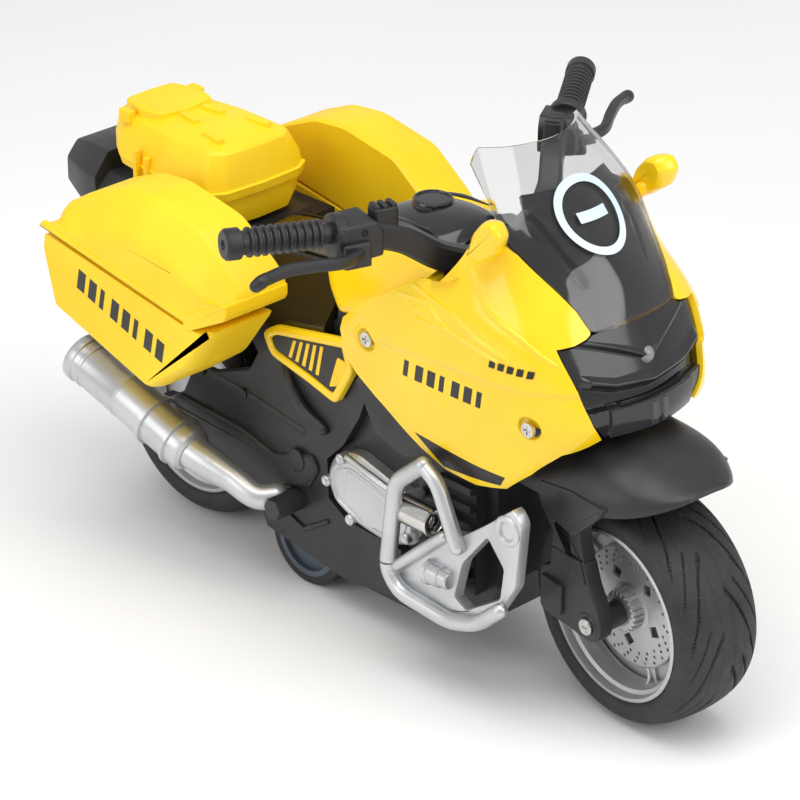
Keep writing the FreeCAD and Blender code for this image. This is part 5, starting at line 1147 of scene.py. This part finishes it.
def mudguard_chunks():
    """Visor over the tyre that narrows and drops at its front, with a skirt plate on each side."""
    rows = ((-27, 20.3, 60.4, 73.8), (-19, 20.4, 60.6, 75.0), (-11, 20.4, 60.9, 75.8),
            (-3, 20.2, 61.4, 75.9), (4, 19.4, 62.2, 75.2), (9.5, 17.6, 63.2, 73.8), (14, 15.0, 64.4, 72.2),
            (18, 11.6, 66.0, 70.8), (20.6, 8.2, 67.4, 70.0), (21.7, 5.6, 68.1, 69.6))
    rings = ridge_loft([mudguard_section(*r, 1.4) for r in rows], 8)
    out = [oriented(layered([from_axle(r) for r in rings]))]
    skirt = [(-15.5, 64.6), (-4, 66.0), (7.4, 65.0), (5.0, 61.6), (-3.2, 53.8), (-6.6, 54.4), (-15, 57)]
    for s in (-1, 1):
        out.append(slab([(x + FRONT_AXLE[0], z) for x, z in skirt], s * 18.7, s * 20.35, 0.5, 1.0))
    return out


piece("front_mudguard_shell", mudguard_chunks(), ["black_satin"], "fork", ["front_mudguard"],
      sharp=40, move=steer)


def plate_with_window(outline, window, y_in, y_out, corner=0.8):
    """Flat plate with one opening, made as a ring between the outline and the opening."""
    n = 96
    outer = along(np.vstack([rounded(outline, corner), rounded(outline, corner)[:1]]), n + 1)[:-1]
    hole = along(np.vstack([rounded(window, corner), rounded(window, corner)[:1]]), n + 1)[:-1]
    middle = hole.mean(0)

    def ordered(loop):
        area = np.sum(loop[:, 0] * np.roll(loop[:, 1], -1) - np.roll(loop[:, 0], -1) * loop[:, 1])
        loop = loop if area > 0 else loop[::-1]
        a = np.arctan2(*(loop - middle).T[::-1])
        return np.roll(loop, -int(np.argmin(np.abs(a))), 0)

    outer, hole = ordered(outer), ordered(hole)
    sign = 1 if y_out > y_in else -1
    rings = [lift(outer, y_in), lift(grown(outer, 0.0), y_out - sign * 0.45),
             lift(grown(outer, -0.13), y_out - sign * 0.13), lift(grown(outer, -0.45), y_out),
             lift(grown(hole, 0.45), y_out), lift(grown(hole, 0.13), y_out - sign * 0.13),
             lift(hole, y_out - sign * 0.45), lift(hole, y_in)]
    grid = np.array(rings)
    return oriented(chunk(grid, quads(len(grid), n, wrap_rows=True, wrap_cols=True)))


def leg_chunks(s):
    """Fork leg blade with its window, the caliper block, the spacer, and both axle ends."""
    shift = lambda pts: [(x + FRONT_AXLE[0], z) for x, z in pts]
    blade = [(-6, 64), (-3, 61), (-3, 53), (-1.6, 46.5), (-6.4, 47.4), (-7.6, 58.6), (-11.6, 53.0),
             (-7.0, 46.4), (-13.6, 46.4), (-13, 51), (-18, 58), (-18, 64)]
    out = [slab(shift(blade), s * 14.6, s * 18.7, 0.5, 0.25)]
    low = [(-1.4, 46.8), (0.5, 41), (3.4, 35.5), (4.3, 31.5), (4.2, 28.6), (2.4, 26.2), (-0.6, 25.4),
           (-6, 26.2), (-16.5, 26.9), (-18, 28.2), (-18, 38.2), (-16.6, 40.2), (-14.2, 41), (-13.6, 46.8)]
    out.append(slab(shift(low), s * 14.6, s * 18.7, 0.55, 0.8))
    out.append(slab(shift([(-16.6, 29), (-9, 29), (-8.6, 37.4), (-16.4, 38)]), s * 18.5, s * 19.8, 0.45,
                    0.9))
    out.append(slab(shift([(-2.3, 47), (-0.5, 41), (-5.4, 41), (-6.9, 47)]), s * 18.5, s * 19.2, 0.3, 0.4))
    spacer = [(s * 8.75, 1.55), (s * 8.75, 3.0), (s * 9.0, 3.2), (s * 14.8, 3.3), (s * 14.8, 1.55)]
    out.append(oriented(closed_lathe(spacer, FRONT_AXLE * (1, 0, 1), (0, 1, 0), 48)))
    collar = [(s * 18.5, 2.35), (s * 18.9, 2.35), (s * 18.95, 3.3), (s * 18.6, 3.6), (s * 18.4, 3.6)]
    out.append(oriented(closed_lathe(collar, FRONT_AXLE * (1, 0, 1), (0, 1, 0), 48)))
    return out


for side, s in (("right", -1), ("left", 1)):
    piece("fork_blade_" + side, leg_chunks(s), ["black_satin"], "fork", ["fork_leg_" + side],
          sharp=40, move=steer)


def axle_chunks():
    """Plain pin with a flat-topped head each end; one straight slot is cut in the right head."""
    pin = [(-18.6, 0), (-18.6, 1.45), (18.6, 1.45), (18.6, 0)]
    out = [oriented(lathe(pin, FRONT_AXLE * (1, 0, 1), (0, 1, 0), 32))]
    for s in (-1, 1):
        head = [(s * 18.4, 0), (s * 18.4, 2.2), (s * 19.6, 2.2), (s * 19.85, 1.95), (s * 19.85, 1.2),
                (s * 19.6, 0.9), (s * 19.6, 0)]
        out.append(oriented(lathe(head, FRONT_AXLE * (1, 0, 1), (0, 1, 0), 40)))
        c = FRONT_AXLE
        for k in (-1, 1):
            arc = [(1.95 * math.cos(t), 1.95 * math.sin(t)) for t in np.linspace(math.asin(0.16),
                                                                                 math.pi - math.asin(0.16),
                                                                                 14)]
            half = [(c[0] + x * 0.6, c[2] + k * z * 0.6) for x, z in arc]
            out.append(slab(half, s * 19.5, s * 19.83, 0.08, 0))
    return out


piece("front_axle_pin", axle_chunks(), ["steel"], "fork", ["front_axle"], sharp=35, move=steer)


# ------------------------------------------------------------------ handlebar
BAR_PATH = [(27.5, 3, 108), (26.5, 14, 109.5), (24, 22, 113), (19, 31, 119.5), (14, 41, 123),
            (11.6, 48, 124.2), (1, 67, 125.6)]
CONTROL_PLACE = (13.8, 42, 123)
LEVER_PATH = [(18.5, 44, 120), (19.7, 52, 120.4), (16.6, 59.5, 121.2), (14, 66, 121.6), (12.2, 73.6, 121)]


def arm_chunk(path, wide, tall, edge=0.9):
    """Rectangular bar with chamfered edges carried along a path in space."""
    p = along(np.asarray(path, float), 60, True)
    t = np.gradient(p, axis=0)
    t /= np.linalg.norm(t, axis=1)[:, None]
    side = np.cross(t, (0, 0, 1))
    side /= np.linalg.norm(side, axis=1)[:, None]
    top = np.cross(side, t)
    w, h = wide / 2, tall / 2
    section = [(w, h - edge), (w - edge, h), (edge - w, h), (-w, h - edge), (-w, edge - h), (edge - w, -h),
               (w - edge, -h), (w, edge - h)]
    rings = [np.array([q + side[i] * a + top[i] * b for a, b in section]) for i, q in enumerate(p)]
    return oriented(layered(rings))


def yoke_chunks():
    """Flat-sided arm each side that turns round under the grips, and a hub that drops on the post."""
    out = []
    for s in (-1, 1):
        path = np.array(BAR_PATH, float) * (1, s, 1)
        out.append(sweep(path, 2.6, sides=28, count=100))
        out.append(arm_chunk(path[:5] + (0.4, 0, 0), 6.0, 6.6))
    hub = [(-7.9, 3.1), (-7.9, 6.4), (-0.7, 6.5), (0, 5.9), (0, 1.2), (-2.4, 1.1), (-2.6, 3.1)]
    out.append(oriented(closed_lathe(hub, (POST[0], 0, 112.9), (0, 0, 1), 48)))
    return [oriented(c) for c in out]


piece("handlebar_tube", yoke_chunks(), ["black_satin"], "handlebar", ["handlebar_yoke"],
      sharp=40, move=bar_turn)


def grip_chunks(s):
    """Rubber grip: nine sharp ribs with grooves between, and a larger plain collar at its outer end."""
    a, b = np.array((10.6, s * 49.8, 124.4)), np.array((-1.0, s * 71.4, 125.9))
    length = np.linalg.norm(b - a)
    prof = [(0, 0), (0, 2.9), (0.3, 3.6), (1.2, 3.6), (1.5, 2.9)]
    for at in np.arange(2.0, 19.0, 1.95):
        prof += [(at, 2.85), (at + 0.35, 3.65), (at + 0.95, 3.65), (at + 1.3, 2.85)]
    prof += [(length - 4.2, 3.0), (length - 3.8, 3.85), (length - 0.7, 3.85), (length, 3.3), (length, 1.2),
             (length - 0.6, 1.0), (length - 0.6, 0)]
    return [oriented(lathe(prof, a, b - a, 48))]


def control_chunks(s):
    """Switch housing, a notched tower inboard of it, a lever bracket, and a blade lever with a hooked end."""
    turn = math.radians(25)
    c, n = math.cos(turn), math.sin(turn)

    def local(ch):
        p = ch[0]
        spun = np.stack([p[:, 0] * c - p[:, 1] * n, p[:, 0] * n + p[:, 1] * c, p[:, 2]], -1)
        return spun + CONTROL_PLACE, ch[1], ch[2]

    housing = slab([(-6.0, -5.2), (5.2, -6.0), (6.0, -1.0), (5.0, 3.6), (-4.0, 4.0), (-6.0, 1.5)], -4.8,
                   5.2, 0.7, 0.9, both=True, plane="yz")
    step_plate = brick((-5.4, 1.5, -5.0), (5.0, 6.2, 2.4), 0.6)
    tower = brick((-2.6, -11.4, -3.0), (2.2, -5.2, 5.2), 0.5)
    caps = [brick((-2.2, y, 4.6), (1.8, y + 1.5, 6.0), 0.35) for y in (-11.2, -8.9, -6.9)]
    bracket = brick((0.6, -2.2, -6.4), (6.6, 5.0, -0.4), 0.6)
    screw = lathe([(-0.6, 0), (-0.6, 1.1), (0.3, 1.0), (0.3, 0)], (4.9, -0.8, 1.6), (1, 0, 0), 20)
    parts = [local(k) for k in [housing, step_plate, tower, bracket, oriented(screw)] + caps]
    collar = closed_lathe([(-1.6, 2.4), (-1.6, 4.4), (-1.1, 4.9), (1.1, 4.9), (1.6, 4.4), (1.6, 2.4)],
                          (12.4, 46.4, 123.9), (-0.40, 0.9, 0.12), 36)
    parts.append(oriented(collar))
    parts.append(arm_chunk(LEVER_PATH, 2.5, 3.0, 0.7))
    end = np.array(LEVER_PATH[-1])
    parts.append(sweep([end + (0.3, -1.5, 0.3), end + (0, 0, -0.2), end + (-1.0, 0.6, -1.2)],
                       (1.5, 1.7, 1.5), sides=18, count=8))
    parts = [oriented(p) for p in parts]
    return [mirrored(p) for p in parts] if s < 0 else parts


for side, s in (("right", -1), ("left", 1)):
    piece("grip_sleeve_" + side, grip_chunks(s), ["black_satin"], "handlebar", ["grip_" + side],
          sharp=30, bevel=0.1, limit=40, move=bar_turn)
    piece("lever_and_reservoir_" + side, control_chunks(s), ["black_satin"], "handlebar",
          ["bar_controls_" + side], sharp=40, move=bar_turn)


# ------------------------------------------------------------------ silver parts
def exhaust_chunks(s):
    """Muffler from tip to header: rings, a rolled tip round a bore, and a slim header that bends forward."""
    tip, waist, head = (np.array(p) * (1, s, 1) for p in ((-96, 33, 48), (-53, 32, 34.2), (-30, 28, 27.4)))
    length = np.linalg.norm(waist - tip)
    prof = [(0.35, 5.25), (-0.1, 5.6), (-0.25, 6.2), (0.1, 6.8), (1.0, 7.0), (2.6, 6.95), (3.0, 6.5),
            (4.4, 6.4), (4.7, 6.7), (5.7, 6.7), (6.0, 6.45)]
    for share, wide, rise in ((0.42, 0.5, 0.12), (0.66, 1.1, 0.75), (0.87, 0.9, 0.65)):
        x = share * length
        prof += [(x - 0.3, 6.45), (x, 6.45 + rise), (x + wide, 6.45 + rise), (x + wide + 0.3, 6.4)]
    prof += [(length - 2.2, 6.4), (length - 0.9, 6.0), (length - 0.1, 5.0), (length, 4.2), (length, 3.0),
             (3.4, 3.0), (3.4, 5.2)]
    out = [oriented(closed_lathe(prof, tip, waist - tip, 72))]
    path = [waist - (waist - tip) * 0.03, waist + (head - waist) * 0.15, waist + (head - waist) * 0.55,
            head + (-2.0, -s * 0.5, 0), head + (0.5, -s * 3.5, 0.2)]
    out.append(oriented(sweep(path, (4.6, 4.4, 3.7, 3.4, 3.3), sides=36, count=60)))
    return out


for side, s in (("right", -1), ("left", 1)):
    piece("muffler_" + side, exhaust_chunks(s), ["silver_paint"], "body", ["exhaust_" + side],
          sharp=28)


def engine_chunks(s):
    """Stepped crankcase cover: chamfered face, a sunk line, a rail along its top edge and small bosses."""
    outline = [(-9, 46.4), (-13, 42.5), (-14, 37), (-11, 31.5), (-3, 28.0), (8, 26.6), (17.5, 29.5),
               (20.5, 35), (17, 42.5), (-3.5, 47.9)]
    base = rounded(outline, 2.6, 6)
    levels = ((17.15, 0), (20.3, 0), (21.0, -0.5), (22.2, -1.9), (22.4, -2.4), (22.4, -3.0), (22.15, -3.2),
              (22.15, -3.5), (22.4, -3.7), (22.5, -4.6))
    out = [oriented(layered([lift(grown(base, by), s * y) for y, by in levels]))]
    out.append(oriented(sweep([(-5.5, s * 22.0, 46.6), (5, s * 22.4, 44.6), (16.0, s * 22.0, 41.8)],
                              (0.8, 1.0, 0.8), sides=16, count=20)))
    out.append(slab([(-5, 43.6), (9, 40.2), (12, 36.4), (9, 31.0), (2, 30.2), (-6, 35.0)], s * 22.3,
                    s * 22.75, 0.25, 1.4))
    for x, z in ((-7.3, 45.6), (-12.6, 37.6), (-4.0, 29.6), (16.2, 32.0)):
        boss = [(s * 20.2, 0), (s * 20.2, 1.5), (s * 22.9, 1.45), (s * 23.15, 1.1), (s * 22.95, 0.65),
                (s * 22.9, 0)]
        out.append(oriented(lathe(boss, (x, 0, z), (0, 1, 0), 24)))
    return out


GUARD_LOOP = [(31, 61), (21.5, 53), (18.5, 28), (23, 23), (42, 22)]
GUARD_STRUT = [(31, 61), (36, 58), (43, 43)]


def soft_route(points, s, plane=31.0):
    """Route through the points with each corner turned on a quadratic curve."""
    p = np.array([(x, s * plane, z) for x, z in points], float)
    out = [p[0]]
    for a, b, c in zip(p, p[1:], p[2:]):
        ra, rc = min(3.5, np.linalg.norm(b - a) * 0.42), min(3.5, np.linalg.norm(c - b) * 0.42)
        s0, s1 = b + (a - b) / np.linalg.norm(a - b) * ra, b + (c - b) / np.linalg.norm(c - b) * rc
        out += [(1 - t) ** 2 * s0 + 2 * t * (1 - t) * b + t * t * s1 for t in np.linspace(0, 1, 7)]
    return np.array(out + [p[-1]])


def guard_chunks(s):
    """Crash bar: tube loop and strut, a plate with an opening and a drilled ear, a boss and a stepped peg."""
    near = s * (31 - 4.6)
    plate = [(20.5, 28.0), (27.5, 34.5), (38, 44.2), (43, 45.5), (51, 51.6), (60.2, 59.3), (63, 56),
             (61.2, 38), (55.5, 28.8), (49.8, 23.6), (40.5, 20.2), (25, 21.4), (20.2, 24.6)]
    window = [(51.8, 48.6), (43.4, 38.2), (40.6, 27.6), (44.6, 25.6), (56.2, 33.2), (57.4, 42)]
    out = [sweep(soft_route(GUARD_LOOP[:-1] + [(40.6, 21.4), (49.8, 24.4), (57.5, 31.2)], s),
                 (2.2, 2.2, 2.2, 2.0), sides=24, smooth=False, count=140),
           sweep(soft_route(GUARD_STRUT, s), 2.0, sides=24, smooth=False, count=50),
           sweep([(21.5, s * 30.6, 29.5), (30, s * 30.4, 37), (37.2, s * 30.0, 43.4)], 1.5, sides=20,
                 count=20)]
    out.append(plate_with_window(plate, window, near, s * (31 - 1.2)))
    ear = [(s * 26.6, 2.3), (s * 26.6, 4.0), (s * 30.1, 4.0), (s * 30.4, 3.6), (s * 30.4, 2.7),
           (s * 30.0, 2.3)]
    out.append(oriented(closed_lathe(ear, (58.6, 0, 53.0), (0, 1, 0), 40)))
    for z in (27.5, 46):
        x = 20.0 if z < 40 else 20.8
        out.append(sweep([(x, s * 31, z), (x, s * 22.4, z)], 1.9, sides=20, smooth=False, count=6))
    foot = lathe([(0, 0), (0, 3.3), (1.2, 3.3), (1.5, 2.9), (4.8, 2.8), (5.0, 2.4), (7.4, 2.35), (7.8, 2.0),
                  (7.8, 0)], (32.6, s * 30.6, 32.4),
                 (1, 0, 0.0), 36)
    out.append(foot)
    boss = closed_lathe([(-6.0, 2.2), (-6.0, 3.4), (-5.6, 3.8), (4.6, 4.0), (5.1, 4.0), (5.4, 3.7),
                         (5.4, 3.15), (5.0, 2.95), (3.6, 2.9), (3.6, 2.2)], (26.5, s * 27.6, 44.5),
                        (1, 0, 0), 48)
    stub = lathe([(-5.9, 0), (-5.9, 2.3), (3.7, 2.3), (3.7, 1.9), (4.9, 1.8), (5.1, 1.5), (5.1, 0)],
                 (26.5, s * 27.6, 44.5), (1, 0, 0), 40)
    bright = [oriented(c) for c in (boss, stub)]
    return [(c[0], c[1], 0) for c in map(oriented, out)] + [(c[0], c[1], 1) for c in bright]


def chassis_trim(s):
    """Raised parts of the shell side: beam with its round recess, upper rod, hose, foot frame, hex peg."""
    def at(points, y):
        return [(x, s * y, z) for x, z in points]

    beam = [(-76, 37.6), (-72, 41.0), (-46, 39.6), (-34, 36.6), (-20, 41.6), (-17.5, 38), (-21.5, 31.4),
            (-31, 28.6), (-44, 31.6), (-70, 34.0)]
    rings = [lift(grown(rounded(beam, 1.6, 5), by), s * y) for y, by in ((17.0, 0), (20.6, 0), (21.2, -0.6),
                                                                         (21.25, -1.2))]
    out = [oriented(layered(rings))]
    out.append(sweep(at([(-60, 50.8), (-46, 50.0), (-24, 46.8)], 19.0), (1.4, 1.6, 1.5), sides=16,
                     count=30))
    out.append(sweep(at([(-59, 47.0), (-40, 45.4), (-26, 43.0)], 18.2), 0.8, sides=12, count=24))
    out.append(sweep([(-31, s * 19.0, 63.5), (-27.5, s * 21.0, 59), (-22.5, s * 21.4, 54),
                      (-15.5, s * 20.6, 50.4)], (1.5, 1.7, 1.5), sides=18, count=40))
    out.append(sweep(at([(-34.9, 22.9), (-23.6, 18.6), (-15, 24)], 20.2), 0.7, sides=12, smooth=False,
                     count=40))
    for x, z in ((-62.5, 50.9), (-46, 49.9)):
        out.append(lathe([(s * 18.0, 0), (s * 18.0, 1.5), (s * 20.9, 1.4), (s * 21.2, 1.0), (s * 21.2, 0)],
                         (x, 0, z), (0, 1, 0), 24))
    hexagon = [(3.1 * math.cos(k * math.pi / 3), 3.1 * math.sin(k * math.pi / 3)) for k in range(6)]
    out.append(slab([(-25.4 + x, 27.0 + z) for x, z in hexagon], s * 17.2, s * 30.0, 0.4, 0.3))
    tread = lathe([(s * 20.6, 0), (s * 20.6, 3.2), (s * 21.5, 3.2), (s * 21.6, 2.9), (s * 21.3, 2.7),
                   (s * 21.3, 0)], (-25.5, 0, 38.2), (0, 1, 0), 36)
    out.append(tread)
    return [oriented(c) for c in out]


for side, s in (("right", -1), ("left", 1)):
    piece("engine_case_" + side, engine_chunks(s), ["silver_paint"], "body", ["engine_cover_" + side],
          sharp=30)
    piece("crash_guard_" + side, guard_chunks(s), ["silver_paint", "chrome"], "body", ["crash_bar_" + side],
          sharp=35)
    piece("frame_relief_" + side, chassis_trim(s), ["black_satin"], "body", sharp=35)


# ------------------------------------------------------------------ prints on the yellow fairing
def skin_print(corners_xz, rows=6, cols=14, proud=0.05):
    """Thin film that lies on the fairing between four (x, z) corners given in order round it."""
    a, b, c, d = (np.array(p, float) for p in corners_xz)
    u = np.linspace(0, 1, cols)[None, :, None]
    v = np.linspace(0, 1, rows)[:, None, None]
    flat = (1 - v) * ((1 - u) * a + u * b) + v * ((1 - u) * d + u * c)
    s = np.array([[by_x(px, pz)[0] for px, pz in row] for row in flat])
    grid = skin(s, flat[..., 1])
    n = normals(grid)
    n *= np.sign(np.sum(n * (grid - (20, 0, 90)), axis=2).mean())
    x, z = grid[..., 0], grid[..., 2]
    crease = np.interp(x, [-5, 12, 35, 52, 78], [84, 89, 91, 91.4, 92.6])
    drop = -0.8 * step((crease - z) / 2.2) * step((z - 62) / 16) * step((x - 2) / 14)
    return panel(grid + n * (drop + proud)[..., None], proud + 0.02, (20, 0, 90))


def fairing_prints():
    """Row of slanted bars under the crease, a short row near the front, and a dark wedge at the foot."""
    out = []
    for k in range(7):
        x = 22.5 + k * 4.1
        w = 2.6 if k % 3 else 1.6
        out.append(skin_print([(x, 82.0), (x + w, 82.0), (x + w + 1.0, 86.6), (x + 1.0, 86.6)], 5, 4))
    for k in range(5):
        x = 52.5 + k * 2.6
        out.append(skin_print([(x, 94.9 - k * 0.05), (x + 1.6, 94.9), (x + 1.9, 96.6), (x + 0.3, 96.6)], 3,
                              3, 0.3))
    out.append(skin_print([(33.5, 60.0), (51.5, 61.0), (53.5, 64.0), (24.5, 66.5)], 6, 16))
    return out


marks = fairing_prints()
for side, mirror in (("right", False), ("left", True)):
    piece("fairing_print_" + side, [mirrored(c) for c in marks] if mirror else marks, ["decal"], "body")


# ------------------------------------------------------------------ floor, light and camera
def floor():
    """Pale matt table top under the toy."""
    me = bpy.data.meshes.new("floor")
    r = 1.6
    me.from_pydata([(-r, -r, 0), (r, -r, 0), (r, r, 0), (-r, r, 0)], [], [(0, 1, 2, 3)])
    me.materials.append(material("floor paper", (0.90, 0.90, 0.90), (0.92, 0.92, 0.92), (0.75, 0.85), 400,
                                 0.02, 6))
    ob = bpy.data.objects.new("floor", me)
    bpy.context.scene.collection.objects.link(ob)


def area_light(name, place, aim, size, power):
    """Rectangular soft box that faces its aim."""
    data = bpy.data.lights.new(name, "AREA")
    data.shape = "RECTANGLE"
    data.size, data.size_y = size
    data.energy = power
    ob = bpy.data.objects.new(name, data)
    ob.location = place
    ob.rotation_euler = (Vector(aim) - Vector(place)).to_track_quat("-Z", "Y").to_euler()
    bpy.context.scene.collection.objects.link(ob)


WORLD_STRENGTH = 0.62
SOFT_BOXES = [
    ("top soft box", (0.15, -0.15, 0.85), (0, 0, 0.05), (0.8, 0.6), 4.6),
    ("front soft box", (0.75, 0.25, 0.5), (0.03, 0, 0.08), (0.5, 0.5), 2.0),
    ("side soft box", (-0.25, -0.85, 0.4), (0, 0, 0.06), (0.6, 0.5), 1.8),
]
CAMERA_LENS = 172.1
CAMERA_PLACE = (0.61949, -0.61057, 0.48488)
CAMERA_LOOK = (-0.6436, 0.6253, -0.4413)


def surroundings():
    """Even white studio light from all round, soft boxes above and beside the toy."""
    world = bpy.data.worlds.new("studio")
    world.use_nodes = True
    world.node_tree.nodes["Background"].inputs["Color"].default_value = (1, 1, 1, 1)
    world.node_tree.nodes["Background"].inputs["Strength"].default_value = WORLD_STRENGTH
    bpy.context.scene.world = world
    bpy.context.scene.view_settings.view_transform = "Standard"
    for name, place, aim, size, power in SOFT_BOXES:
        area_light(name, place, aim, size, power)


def camera():
    """Long lens from the front right and above."""
    data = bpy.data.cameras.new("camera")
    data.lens = CAMERA_LENS
    data.sensor_width = 36
    data.clip_start = 0.01
    ob = bpy.data.objects.new("camera", data)
    ob.location = CAMERA_PLACE
    ob.rotation_euler = Vector(CAMERA_LOOK).to_track_quat("-Z", "Y").to_euler()
    bpy.context.scene.collection.objects.link(ob)
    bpy.context.scene.camera = ob


floor()
surroundings()
camera()
